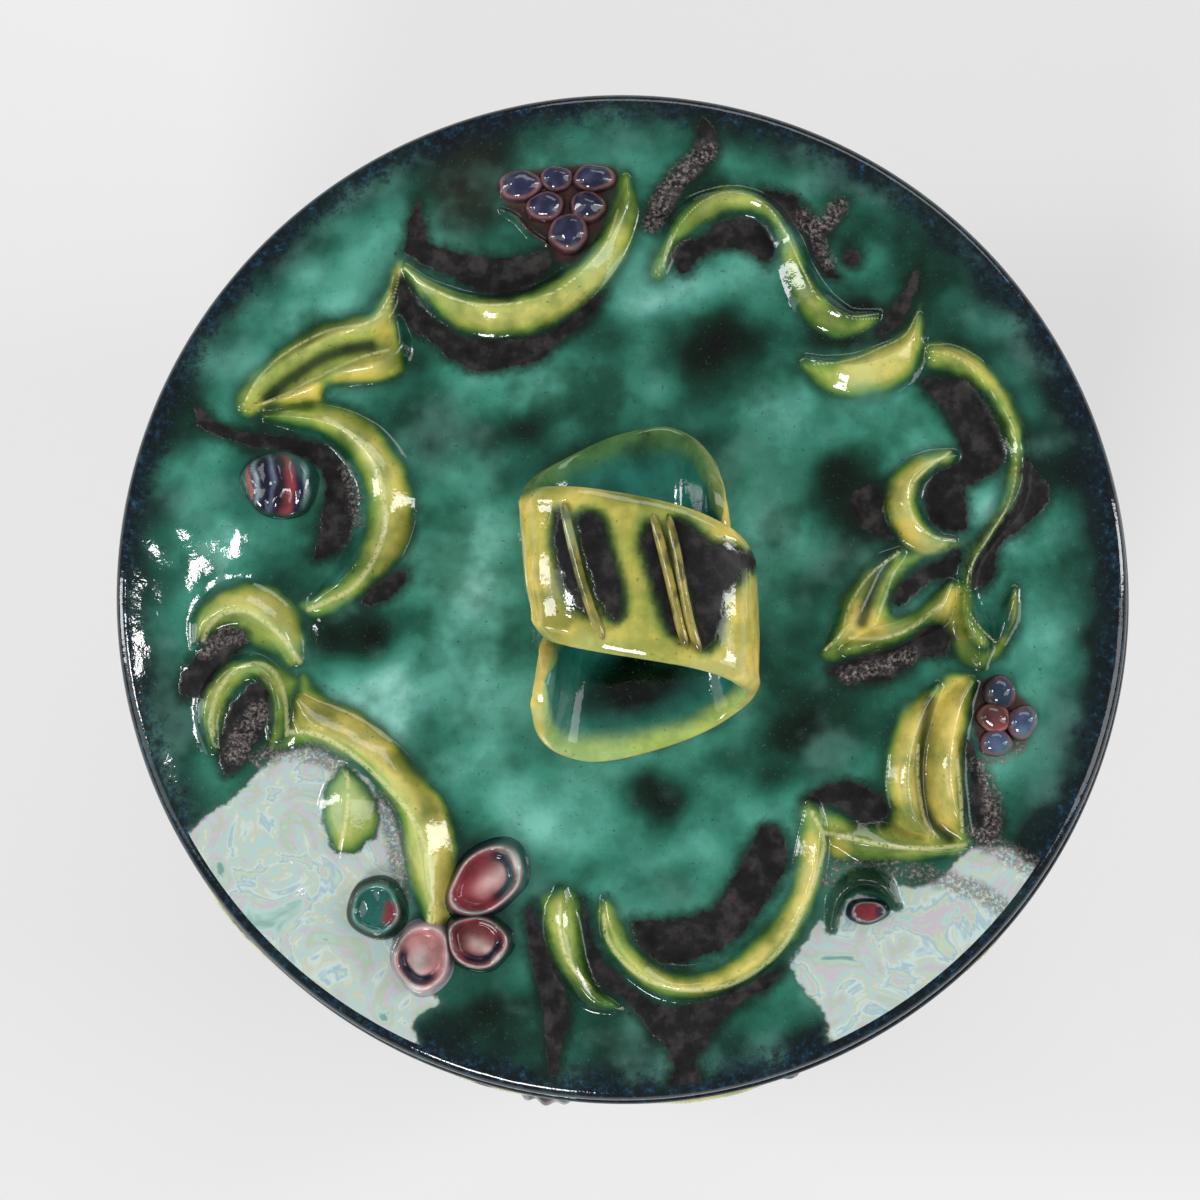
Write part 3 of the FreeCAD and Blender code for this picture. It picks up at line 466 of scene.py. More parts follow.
# Where that glaze is yellow: strength and outline
yellow_px = (
    (0.8, (
        (290, 725), (300, 695), (318, 700), (345, 710), (372, 722), (395, 745), (420, 780), (438, 800),
        (450, 830), (453, 870), (450, 905), (445, 930), (432, 925), (436, 880), (430, 840), (415, 805),
        (385, 770), (350, 742), (318, 730),
    )),
    (0.9, ((250, 410), (290, 396), (310, 384), (325, 390), (322, 402), (295, 404), (262, 412))),
    (0.8, ((335, 380), (360, 366), (385, 352), (400, 352), (402, 366), (385, 377), (350, 383))),
    (0.7, ((372, 325), (385, 305), (396, 268), (404, 270), (398, 300), (396, 350), (385, 345))),
    (0.5, ((270, 365), (300, 342), (340, 324), (372, 318), (372, 330), (335, 336), (300, 352))),
    (0.6, (
        (385, 450), (400, 470), (410, 500), (408, 540), (392, 560), (378, 572), (388, 545), (392, 510),
        (388, 475), (372, 445), (350, 425), (330, 412), (350, 412), (370, 425),
    )),
    (0.45, (
        (215, 600), (245, 590), (275, 595), (298, 615), (300, 640), (285, 630), (262, 612), (235, 604),
    )),
    (0.42, (
        (450, 318), (490, 312), (530, 305), (570, 290), (605, 262), (625, 225), (632, 235), (615, 268),
        (585, 300), (545, 322), (500, 330), (465, 328),
    )),
    (0.75, (
        (655, 972), (680, 980), (715, 975), (750, 955), (780, 925), (800, 885), (806, 840), (818, 840),
        (814, 885), (795, 925), (760, 962), (720, 985), (680, 988),
    )),
    (1.0, (
        (948, 682), (970, 682), (962, 740), (958, 790), (958, 830), (945, 832), (928, 810), (922, 780),
        (925, 740), (935, 705),
    )),
    (0.8, (
        (898, 735), (915, 705), (930, 698), (922, 735), (918, 775), (922, 815), (935, 838), (915, 842),
        (880, 834), (893, 815), (894, 780),
    )),
    (0.9, ((826, 842), (846, 842), (850, 850), (838, 858), (828, 862))),
    (0.9, ((900, 520), (915, 520), (922, 538), (945, 548), (925, 555), (905, 546), (893, 528))),
    (0.6, ((892, 490), (905, 470), (930, 460), (920, 480), (905, 500), (900, 515), (888, 505))),
    (0.9, ((845, 622), (855, 602), (872, 610), (885, 632), (860, 640), (846, 640))),
    (0.9, ((938, 612), (948, 592), (962, 592), (962, 615), (970, 640), (958, 640), (945, 628))),
    (0.8, ((985, 640), (1000, 625), (1010, 598), (1016, 602), (1008, 632), (992, 652))),
    (0.7, ((940, 345), (970, 354), (998, 380), (1012, 402), (1004, 400), (975, 368), (945, 354))),
    (0.55, ((850, 358), (890, 346), (915, 325), (920, 345), (905, 370), (870, 382), (840, 375))),
    (0.25, ((690, 215), (712, 200), (738, 200), (742, 206), (715, 214), (695, 224))),
)
# Creases of the garland that catch the light, where a highlight is painted: strength and run
crease_highlight_px = (
    (0.5, ((404, 268), (430, 288), (470, 303), (510, 304), (550, 294), (580, 274), (605, 245), (618, 210))),
    (0.5, ((246, 400), (262, 374), (290, 350), (330, 330), (370, 322), (392, 300), (400, 270))),
    (0.6, ((262, 404), (290, 392), (312, 380), (340, 366), (365, 356), (388, 350))),
    (1.0, (
        (325, 418), (345, 430), (362, 446), (375, 465), (383, 490), (385, 520), (380, 545), (366, 572),
        (350, 590), (330, 600), (308, 610),
    )),
    (1.0, ((203, 640), (210, 625), (225, 613), (245, 611), (265, 622), (285, 640), (300, 662))),
    (0.9, ((213, 735), (212, 712), (222, 685), (240, 668), (262, 664), (278, 678), (286, 705), (287, 735))),
    (1.0, (
        (287, 732), (310, 733), (335, 743), (365, 765), (395, 795), (415, 822), (428, 855), (433, 890),
        (428, 925),
    )),
    (0.8, ((560, 905), (560, 930), (568, 960), (590, 988))),
    (0.8, ((347, 772), (348, 800), (345, 825), (340, 848))),
    (0.9, (
        (604, 915), (608, 940), (630, 968), (660, 985), (700, 990), (740, 980), (780, 950), (805, 905),
        (818, 870), (824, 840), (812, 812),
    )),
    (0.9, ((822, 832), (850, 838), (890, 846), (930, 848), (965, 845))),
    (0.7, ((918, 745), (918, 780), (925, 820), (938, 838))), (0.7, ((957, 760), (961, 800), (962, 832))),
    (0.6, ((950, 452), (925, 470), (910, 490), (912, 515), (930, 535), (955, 541))),
    (0.6, ((898, 552), (870, 575), (850, 605), (842, 632), (825, 650))),
    (0.8, ((850, 638), (880, 638), (910, 628), (940, 605))),
    (0.4, (
        (940, 352), (965, 362), (990, 390), (1008, 420), (1016, 460), (1010, 500), (990, 535), (972, 565),
        (965, 600), (978, 625), (995, 642),
    )),
    (0.4, ((812, 365), (850, 360), (880, 348), (905, 335), (918, 312))),
    (0.4, (
        (664, 262), (680, 225), (705, 200), (735, 192), (765, 205), (785, 232), (803, 270), (820, 300),
        (850, 318), (880, 318),
    )),
)
# Strokes of speckled ash between black and lustre glaze: half width and run
ash_px = (
    (10, ((262, 760), (285, 750), (310, 752), (335, 762))),
    (9, ((384, 800), (393, 835), (400, 868), (402, 895))), (11, ((236, 752), (246, 732), (258, 712))),
    (8, ((205, 650), (225, 638), (245, 634))), (6, ((345, 470), (355, 492), (357, 520))),
    (9, ((828, 880), (850, 862), (885, 868), (930, 876), (975, 890), (1000, 905))),
    (10, ((975, 835), (1000, 850), (1028, 864))), (8, ((985, 770), (992, 800), (990, 830))),
    (9, ((652, 225), (668, 190), (690, 165), (708, 150))), (8, ((810, 222), (824, 222), (838, 205))),
    (6, ((800, 215), (818, 240), (828, 262))), (6, ((845, 675), (880, 668), (910, 655))),
    (6, ((975, 765), (1000, 757), (1022, 748))),
)
# Ground of red-brown glaze round the berries
berry_ground_px = {
    "grapes": (
        (500, 190), (508, 178), (530, 170), (565, 166), (600, 164), (618, 172), (618, 200), (610, 225),
        (596, 245), (578, 262), (560, 262), (548, 248), (528, 232), (512, 212),
    ),
    "right": (
        (972, 700), (980, 682), (998, 678), (1014, 690), (1032, 708), (1034, 728), (1022, 748), (1000, 752),
        (980, 745), (972, 725),
    ),
}
# Black strokes of glaze over the strap
strap_black_px = {
    "left": (
        (558, 512), (566, 530), (572, 560), (580, 590), (590, 612), (575, 602), (563, 575), (555, 545),
    ),
    "middle": (
        (580, 518), (598, 516), (608, 540), (614, 565), (621, 590), (622, 612), (612, 618), (600, 600),
        (590, 570), (582, 545),
    ),
    "right stroke": (
        (648, 525), (658, 540), (666, 570), (676, 600), (684, 632), (670, 630), (660, 602), (650, 570),
        (644, 545),
    ),
    "right": (
        (676, 520), (692, 528), (708, 544), (730, 549), (756, 558), (754, 568), (738, 566), (740, 578),
        (724, 590), (721, 612), (716, 637), (704, 647), (697, 620), (690, 590), (680, 560), (674, 540),
    ),
}
# Pinched ridges over the crown of the strap
veins_px = (
    ((563, 503), (570, 535), (580, 575), (592, 612), (604, 640)),
    ((652, 512), (661, 545), (672, 590), (680, 625), (687, 648)),
    ((668, 514), (676, 550), (685, 600), (692, 630), (700, 652)),
)
# The strap's rear and front edges, from the end of the rear turn over the crown to the end of
# the front turn, with heights in millimetres over the lid's crown
strap_edges_px = (
    (718, 500, 726, 540, 19.5), (713, 474, 720, 552, 14.0), (704, 452, 708, 565, 7.5),
    (690, 436, 692, 580, 2.6), (668, 427, 672, 595, 0.9), (640, 430, 640, 600, 0.7),
    (606, 439, 602, 604, 0.7), (570, 456, 570, 604, 1.3), (545, 470, 552, 606, 4.5),
    (531, 482, 543, 612, 10.0), (527, 490, 541, 622, 16.0), (532, 489, 543, 634, 21.5),
    (552, 486, 556, 643, 25.3), (590, 488, 592, 651, 27.3), (640, 496, 640, 659, 27.9),
    (688, 508, 688, 667, 27.3), (722, 523, 722, 677, 25.3), (741, 540, 741, 686, 21.5),
    (747, 558, 750, 692, 16.0), (744, 574, 748, 700, 10.0), (734, 586, 737, 710, 4.5),
    (712, 592, 714, 727, 1.6), (680, 596, 678, 743, 0.8), (640, 598, 630, 757, 0.7),
    (604, 600, 592, 762, 0.9), (578, 606, 562, 755, 2.6), (560, 622, 546, 742, 7.5),
    (551, 640, 540, 722, 14.0), (549, 655, 538, 700, 19.5),
)


def linear(colour):
    """Colour of 0 to 255 as linear light."""
    share = np.asarray(colour, float) / 255
    return np.where(share <= 0.04045, share / 12.92, ((share + 0.055) / 1.055) ** 2.4)


def ease(low, high, value):
    """Smooth step from 0 at low to 1 at high."""
    share = np.clip((value - low) / (high - low), 0, 1)
    return share * share * (3 - 2 * share)


def bell(value, middle, reach):
    """1 at a middle, fading away over a reach on both sides."""
    return np.exp(-(((value - middle) / reach) ** 2))


def blend_tint(tint, colour, share):
    """Tints moved by a share towards others. Either may be one colour of 0 to 255."""
    if isinstance(tint, tuple):
        tint = linear(tint)
    if isinstance(colour, tuple):
        colour = linear(colour)
    return tint + (colour - tint) * share[..., None]


def ramp_tint(value, stops):
    """Tint from stops of value and colour."""
    marks = [stop[0] for stop in stops]
    colours = linear([stop[1] for stop in stops])
    return np.stack([np.interp(value, marks, colours[:, band]) for band in range(3)], -1)


def ripple(points, wavelength, seed, waves=14):
    """Soft uneven waves from -1 to 1 over flat or solid points."""
    chance = np.random.default_rng(seed)
    total = np.zeros(points.shape[:-1])
    for _ in range(waves):
        way = chance.normal(size=points.shape[-1])
        way *= 2 * math.pi / wavelength / np.linalg.norm(way) * chance.uniform(0.6, 1.5)
        total += np.sin(points @ way + chance.uniform(0, 2 * math.pi))
    return np.clip(total / math.sqrt(waves) / 1.4, -1, 1)


def ripples(points, *waves):
    """Sum of waves, each given by its strength, wavelength in millimetres and seed."""
    return sum(strength * ripple(points, wavelength, seed) for strength, wavelength, seed in waves)


def smooth_rows(rows, steps, closed=False):
    """Rows of numbers as a finer smooth run through them."""
    rows = np.asarray(rows, float)
    if closed:
        padded = np.concatenate((rows[-1:], rows, rows[:2]))
    else:
        padded = np.concatenate((2 * rows[:1] - rows[1:2], rows, 2 * rows[-1:] - rows[-2:-1]))
    share = (np.arange(steps) / steps)[:, None]
    runs = []
    for a, b, c, d in zip(padded, padded[1:], padded[2:], padded[3:]):
        cubic = 2 * b + (c - a) * share + (2 * a - 5 * b + 4 * c - d) * share**2
        runs.append((cubic + (3 * b - a - 3 * c + d) * share**3) / 2)
    if not closed:
        runs.append(rows[-1:])
    return np.concatenate(runs)


def nearest_parts(spots, starts, run):
    """For spots against straight parts: share along each part, way from it and gap."""
    share = np.clip(((spots - starts) * run).sum(-1) / (run**2).sum(-1), 0, 1)
    away = spots - starts - share[..., None] * run
    return share, away, np.linalg.norm(away, axis=-1)


def near_line(places, line, reach):
    """Which places lie in a line's box, widened by a reach."""
    return np.all((places > line.min(0) - reach) & (places < line.max(0) + reach), -1)


# How far outside an outline or a run, in pixels, or a strip, depths are still worked out
outline_reach_px = 60
run_reach_px = 20
strip_reach = 6.0
# Steps between the points of outlines, runs and strips
outline_steps = 4
run_steps = 5
strip_steps = 8
# Depth and distance, in millimetres, that stand for far away
far_mm = 9.0


def outline_depth(seen, outline):
    """How far pixels lie inside a smooth closed outline, and less than zero outside it."""
    corners = smooth_rows(outline, outline_steps, closed=True)
    ends = np.roll(corners, -1, 0)
    near = near_line(seen, corners, outline_reach_px)
    depth = np.full(seen.shape[:-1], -float(outline_reach_px))
    spots = seen[near][:, None]
    run = ends - corners
    gap = nearest_parts(spots, corners, run)[2].min(1)
    above = spots[..., 1] < ends[:, 1]
    crosses = (spots[..., 1] < corners[:, 1]) != above
    rise = np.where(run[:, 1] == 0, 1e-9, run[:, 1])
    left = spots[..., 0] < corners[:, 0] + (spots[..., 1] - corners[:, 1]) * run[:, 0] / rise
    inside = (crosses & left).sum(1) % 2 == 1
    depth[near] = np.where(inside, gap, -gap)
    return depth


def outlines_depth(seen, outlines):
    """How deep pixels lie inside the nearest of some outlines."""
    return np.max([outline_depth(seen, outline) for outline in outlines.values()], 0)


def run_distance(seen, runs):
    """Distance from the nearest of some runs, in millimetres, drawn out where they are weak."""
    gap = np.full(seen.shape[:-1], far_mm)
    for strength, run in runs:
        line = smooth_rows(run, run_steps)
        near = near_line(seen, line, run_reach_px)
        away = nearest_parts(seen[near][:, None], line[:-1], line[1:] - line[:-1])[2].min(1)
        gap[near] = np.minimum(gap[near], away * px_size / strength)
    return gap


def stroke_depth(seen, strokes):
    """How deep points lie inside brush strokes, in millimetres."""
    depth = np.full(seen.shape[:-1], -far_mm)
    for half_width, run in strokes:
        depth = np.maximum(depth, half_width * px_size - run_distance(seen, ((1.0, run),)))
    return depth


def strip_field(places, stations):
    """For flat places: place across a strip in half widths, share along it, its crest there
    and its half width. Places far away are left at a great place across."""
    line = smooth_rows(stations, strip_steps)
    starts, ends = line[:-1], line[1:]
    near = near_line(places, line[:, :2], 2 * line[:, 2].max() + strip_reach)
    run = ends[:, :2] - starts[:, :2]
    share, away, gap = nearest_parts(places[near][:, None], starts[:, :2], run)
    best = gap.argmin(1)
    rows = np.arange(len(best))
    part = share[rows, best][:, None]
    sizes = starts[best, 2:4] * (1 - part) + ends[best, 2:4] * part
    side = np.sign(run[best, 0] * away[rows, best, 1] - run[best, 1] * away[rows, best, 0])
    field = np.zeros(places.shape[:-1] + (4,))
    field[..., 0] = 9.0
    field[..., 3] = 1.0
    field[near, 0] = side * gap[rows, best] / sizes[:, 0]
    field[near, 1] = (best + part[:, 0]) / len(starts)
    field[near, 2] = sizes[:, 1]
    field[near, 3] = sizes[:, 0]
    return field


def ridge(across, lean, sharpness):
    """Height from 0 to 1 across a strip: round, or drawn up to a crease, with a soft foot."""
    share = np.where(across < lean, (lean - across) / (1 + lean), (across - lean) / (1 - lean))
    share = np.clip(share, 0, 1)
    return (1 - sharpness) * (1 - share**2) ** 1.6 + sharpness * (1 - share) ** 1.5


# How strips meet the ground: a widened foot, and a thumbed trough beside it
ridge_sharpness = 0.35
strip_spread = 1.12
trough_middle = 1.2
trough_reach = 1.1
trough_depth = 0.08


def relief(strip_fields):
    """Height of the garland, and for each strip its place across, height, outer distance and
    share of its crest."""
    powers = trough = 0
    fields = {}
    for name, (lean, field) in strip_fields.items():
        across, along, crest, half_width = np.moveaxis(field, -1, 0)
        high = ridge(across, lean, ridge_sharpness) * crest
        outside = (np.abs(across) - 1) * half_width
        powers = powers + high**4
        trough = np.maximum(trough, bell(outside, trough_middle, trough_reach))
        fields[name] = (across, high, outside, high / np.maximum(crest, 0.1))
    height = powers**0.25
    return height - trough_depth * trough * np.exp(-height), fields


def strips_in(table, length, height, size):
    """Leans and stations of strips, in millimetres."""
    scale = np.array((length, height, size * strip_spread, size))
    return {name: (lean, np.array(rows) / 1000 * scale) for name, (lean, rows) in table.items()}


def arc_rows(centre, radius, start, end, steps):
    """Points of a profile round a centre, from one angle in degrees to another."""
    angles = np.radians(np.linspace(start, end, steps))
    return np.stack((centre[0] + radius * np.cos(angles), centre[1] + radius * np.sin(angles)), -1)


def straight_rows(start, end, steps):
    share = np.linspace(0, 1, steps)[:, None]
    return np.array(start) * (1 - share) + np.array(end) * share


def joined_rows(*parts):
    """Parts of a profile as one run, without doubled points."""
    rows = np.concatenate(parts)
    step = np.linalg.norm(np.diff(rows, axis=0), axis=1)
    return rows[np.concatenate(([True], step > 0.02))]


def turns(count):
    """Angles of a full turn, in equal steps."""
    return np.arange(count) / count * 2 * math.pi


def turned_grid(profile, columns, centre):
    """Points and outward ways of a profile turned about an upright axis."""
    tangent = np.gradient(profile, axis=0)
    tangent /= np.linalg.norm(tangent, axis=1)[:, None]
    turn = np.stack((np.cos(turns(columns)), np.sin(turns(columns))), -1)
    points = np.empty((len(profile), columns, 3))
    out = np.empty_like(points)
    points[..., :2] = profile[:, None, :1] * turn + centre
    points[..., 2] = profile[:, None, 1]
    out[..., :2] = -tangent[:, None, 1:] * turn
    out[..., 2] = tangent[:, None, 0]
    return points, out


def grid_normals(points):
    """Ways out of a grid of points that closes on itself along its rows."""
    along = np.roll(points, -1, 1) - np.roll(points, 1, 1)
    normals = np.cross(np.gradient(points, axis=0), along)
    return normals / np.maximum(np.linalg.norm(normals, axis=-1, keepdims=True), 1e-9)


def grid_quads(rows, columns):
    """Corners of the faces between rows and columns, the last column joined to the first."""
    number = np.arange(rows * columns).reshape(rows, columns)
    beside = np.roll(number, -1, 1)
    return np.stack((number[:-1], number[1:], beside[1:], beside[:-1]), -1)


def end_faces(rows, columns):
    """Faces that close the two ends of a grid."""
    number = np.arange(columns)
    return [number[None], (number[::-1] + (rows - 1) * columns)[None]]


def add_layers(mesh, layers):
    """Writes tints, and the distances that the glaze works with, to the mesh."""
    for key, values in layers.items():
        values = np.asarray(values, np.float32)
        if values.ndim == 2:
            layer = mesh.attributes.new(key, "FLOAT_COLOR", "POINT")
            full = np.concatenate((values, np.ones((len(values), 1), np.float32)), 1)
            layer.data.foreach_set("color", full.ravel())
        else:
            layer = mesh.attributes.new(key, "FLOAT", "POINT")
            layer.data.foreach_set("value", values.ravel())


def plain_layers(tint):
    """Layers of a piece that has tints and none of the patches."""
    far = np.full(len(tint), far_mm)
    return {"tint": tint, "black": -far, "lustre": -far, "ash": -far, "line": far, "rim": 4 * far}


slots = {part["node"]: part["material_slot"] for part in frame["record"]["subparts"]}
jar_nodes = frame["record"]["behaviour"]["bodies"]["jar"]


def mesh_piece(name, points, faces, layers, normals=None):
    """Makes the piece of a node from points in millimetres, and faces as arrays of corners."""
    mesh = bpy.data.meshes.new(name)
    mesh.vertices.add(len(points))
    mesh.vertices.foreach_set("co", (np.asarray(points) * MM).astype(np.float32).ravel())
    corners = np.concatenate([group.ravel() for group in faces]).astype(np.int32)
    sizes = np.concatenate([np.full(len(group), group.shape[1]) for group in faces]).astype(np.int32)
    mesh.loops.add(len(corners))
    mesh.loops.foreach_set("vertex_index", corners)
    mesh.polygons.add(len(sizes))
    mesh.polygons.foreach_set("loop_start", (np.cumsum(sizes) - sizes).astype(np.int32))
    mesh.update(calc_edges=True)
    mesh.validate()
    mesh.shade_smooth()
    add_layers(mesh, layers)
    if normals is not None:
        mesh.normals_split_custom_set_from_vertices(np.asarray(normals, float).tolist())
    mesh.materials.append(materials[slots[name]])
    piece = bpy.data.objects.new(name, mesh)
    bpy.context.scene.collection.objects.link(piece)
    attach(piece, "jar" if name in jar_nodes else "lid")
    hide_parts(name)


# How far the skin sinks under a luted member, and how deep the member's root goes
skin_sink = 0.3
sprig_root = 1.0


def flat_rows(values):
    """Values of a grid as one run."""
    return values.reshape(-1, *values.shape[2:])


def skin_piece(name, points, normals, layers, owners, base, out):
    """The turned skin of the plate or wall, sunk a little under what is luted on it."""
    rows, columns = points.shape[:2]
    covered = np.ones((rows, columns), bool)
    for shift in (0, 1):
        here = np.roll(owners >= 0, shift, 1)
        covered[:-1] &= here
        covered[1:] &= here
    covered[0] = covered[-1] = False
    points = np.where(covered[..., None], base - out * skin_sink, points)
    number = np.arange(columns)
    beside = np.roll(number, -1)
    below = (rows - 1) * columns
    hub = np.full(columns, rows * columns)
    first_fan = np.stack((hub, number, beside), -1)
    last_fan = np.stack((hub + 1, below + beside, below + number), -1)
    all_points, all_normals = (
        np.concatenate((flat_rows(grid), [grid[0].mean(0), grid[-1].mean(0)])) for grid in (points, normals)
    )
    all_layers = {
        key: np.concatenate((flat_rows(values), values[[0, -1], 0])) for key, values in layers.items()
    }
    quads = grid_quads(rows, columns).reshape(-1, 4)
    mesh_piece(name, all_points, [quads, first_fan, last_fan], all_layers, all_normals)


def sprig_piece(name, mask, points, normals, layers, base, out):
    """One luted member: its part of the skin's relief, closed below by a root."""
    quads = grid_quads(*points.shape[:2])[mask]
    used, corners = np.unique(quads, return_inverse=True)
    corners = corners.reshape(-1, 4)
    count = len(used)
    starts = corners.ravel()
    ends = np.roll(corners, -1, 1).ravel()
    edge = ~np.isin(starts * count + ends, ends * count + starts)
    walls = np.stack((starts[edge], starts[edge] + count, ends[edge] + count, ends[edge]), -1)
    top, low, top_normals, low_normals = (
        flat_rows(grid)[used] for grid in (points, base - out * sprig_root, normals, -out)
    )
    all_normals = np.concatenate((top_normals, low_normals))
    all_layers = {key: np.tile(flat_rows(values)[used].T, 2).T for key, values in layers.items()}
    faces = [corners, corners[:, ::-1] + count, walls]
    mesh_piece(name, np.concatenate((top, low)), faces, all_layers, all_normals)


def owners_of(fields, rows, columns):
    """For each face of the grid, the number of the strip that it belongs to, or -1."""
    best = np.zeros((rows - 1, columns))
    owner = np.full((rows - 1, columns), -1)
    for number, (across, high, outside, share) in enumerate(fields.values()):
        reach = np.maximum(outside[:-1], outside[1:])
        reach = np.maximum(reach, np.roll(reach, -1, 1))
        face_high = high[:-1] + high[1:]
        face_high = face_high + np.roll(face_high, -1, 1)
        wins = (reach < 0) & (face_high > best)
        best = np.where(wins, face_high, best)
        owner = np.where(wins, number, owner)
    return owner


# Glaze colours of the garland, from its foot to its crest, and round it
green_ramp = (
    (0.0, (18, 56, 32)), (0.2, (54, 102, 48)), (0.5, (110, 148, 66)), (0.8, (152, 172, 84)),
    (1.0, (178, 188, 108)),
)
yellow_ramp = (
    (0.0, (40, 76, 36)), (0.2, (112, 130, 54)), (0.5, (198, 180, 80)), (0.8, (224, 196, 92)),
    (1.0, (230, 206, 120)),
)
halo_colour = (14, 48, 32)
lid_halo_strength = 0.42
body_halo_strength = 0.8
body_halo_reach = 2.0
groove_colour = (14, 44, 26)
hood_colour = (20, 56, 40)

# Glaze colours of the ground, from dark to pale, and of its rims and underside
ground_ramp = (
    (0.0, (3, 14, 8)), (0.2, (11, 46, 35)), (0.4, (28, 88, 72)), (0.6, (56, 128, 109)),
    (0.8, (94, 166, 150)), (1.0, (136, 198, 186)),
)
jar_rim_colour = (12, 30, 38)
lid_rim_colour = (10, 22, 26)
lid_tip_colour = (56, 56, 56)
under_colour = (26, 74, 62)
inside_colour = (40, 96, 82)
berry_ground_colour = (80, 42, 42)

# The lid: how finely it is turned, and how far from its rim, as a share, its relief dies away
lid_rows_of_top = 186
lid_edge_rows = 8
lid_hollow_rows = 16
lid_columns = 1200
middle_radius = 0.15
relief_end_shares = (0.98, 0.93)
lid_strips = strips_in(lid_strip_shares, lid_radius, lid_radius, lid_radius)

# Unevenness of the lid and its glaze: strength, wavelength in millimetres and seed
lid_swell = ((0.25, 24, 3), (0.08, 8, 4))
lid_mottle = ((0.16, 26, 5), (0.09, 11, 6))
lid_rim_waver = (0.025, 12, 7)
garland_warmth = (0.12, 13, 31)
garland_border_waver = (1.5, 5, 32)
pool_drift_px = 13
# Level of the lid's ground in its colours, and how much a pool of full strength changes it
lid_ground_level = 0.51
pool_strength = 0.58
# Where the navy rim starts and is full, as shares of the lid's radius
lid_rim_shares = (0.855, 0.985)
# Pixels over which the glaze of the garland deepens from its border, and its dark halo fades
garland_depth_px = 13
garland_border_px = (-5, 3)
garland_halo_px = (-13, -3)
yellow_border_px = (-7, 5)
# How far black, lustre and ash stay clear of the garland's glaze, in millimetres
black_clearance = 0.5
lustre_clearance = 0.1
ash_clearance = 0.4


def dome_z(reach, sphere):
    return dome_centre_z + np.sqrt(sphere**2 - reach**2)


def lid_profile():
    """Half profile from the middle of the top over the edge to the middle underneath."""
    top_reach = np.linspace(middle_radius, dome_span, lid_rows_of_top)
    low_reach = np.linspace(dome_under_reach, middle_radius, lid_hollow_rows)
    top = np.stack((top_reach, dome_z(top_reach, dome_radius)), -1)
    edge = arc_rows((dome_span, lid_edge_z - lid_edge_round), lid_edge_round, 88, 0, lid_edge_rows)
    low_centre = (lid_radius - lid_under_round, lid_base_z + lid_under_round)
    low = arc_rows(low_centre, lid_under_round, 0, -90, 4)
    hollow = np.stack((low_reach, dome_z(low_reach, dome_under_radius)), -1)
    return joined_rows(top, edge, low, hollow)


def oval_gap(seen, across, down, half_across, half_down):
    """Squared distance from the middle of an oval, which is 1 on its edge."""
    return ((seen[..., 0] - across) / half_across) ** 2 + ((seen[..., 1] - down) / half_down) ** 2


def ground_tint(seen, places, reach):
    """Mottled copper green over the lid, with pale and dark pools and a navy rim."""
    level = lid_ground_level + ripples(places, *lid_mottle)
    drawn = seen + pool_drift_px * np.stack((ripple(places, 15, 17), ripple(places, 15, 18)), -1)
    for *oval, strength in pools_px:
        level += pool_strength * strength * np.exp(-oval_gap(drawn, *oval))
    tint = ramp_tint(level, ground_ramp)
    for *oval, strength, colour in stains_px:
        tint = blend_tint(tint, colour, strength * np.exp(-oval_gap(seen, *oval) ** 2))
    round_berries = ease(-0.5, 0.5, outlines_depth(seen, berry_ground_px) * px_size)
    tint = blend_tint(tint, berry_ground_colour, round_berries * (0.8 + 0.2 * ripple(places, 4, 8)))
    rim = ease(*lid_rim_shares, reach + ripples(places, lid_rim_waver))
    right = ease(700, 1100, seen[..., 0]) * ease(0.80, 0.95, reach)
    tint = blend_tint(tint, lid_rim_colour, np.clip(0.92 * rim + 0.35 * right, 0, 0.95))
    tip = ease(150, 60, seen[..., 1]) * ease(0.93, 0.985, reach)
    return blend_tint(tint, lid_tip_colour, 0.6 * tip)


def garland_tint(tint, seen, places, height):
    """Paints the garland's glaze: dark green at its border, green and then yellow inside."""
    warm = 0.10 + ripples(places, garland_warmth)
    for strength, outline in yellow_px:
        inside = ease(*yellow_border_px, outline_depth(seen, outline))
        warm = warm + (strength * 0.9 - warm) * inside
    depth = outlines_depth(seen, garland_px) + ripples(places, garland_border_waver)
    level = np.clip(0.08 + depth / garland_depth_px, 0, 1) * 0.8 + 0.2 * np.clip(height / 4, 0, 1)
    local = blend_tint(ramp_tint(level, green_ramp), ramp_tint(level, yellow_ramp), np.clip(warm, 0, 1))
    local = blend_tint(local, groove_colour, 0.9 * ease(-1.4, 0.4, stroke_depth(seen, groove_px)))
    tint = blend_tint(tint, halo_colour, ease(*garland_halo_px, depth) * lid_halo_strength)
    return blend_tint(tint, local, ease(*garland_border_px, depth)), depth * px_size


def mound_rise(points):
    """How far low mounds of the ground lift the lid's top."""
    seen = seen_at(points)
    total = np.zeros(points.shape[:-1])
    for across, down, spread, rise in mounds_px:
        gap = np.linalg.norm(seen - np.array((across, down)), axis=-1) / spread
        total += rise * np.exp(-gap * gap / 2)
    return total


def lid_height(base, places, reach):
    """How far garland, mounds and unevenness lift the lid's top, and the fields of its strips."""
    strip_fields = {name: (lean, strip_field(places, rows)) for name, (lean, rows) in lid_strips.items()}
    height, fields = relief(strip_fields)
    height = (height + ripples(places, *lid_swell)) * ease(*relief_end_shares, reach)
    return height + mound_rise(base), fields


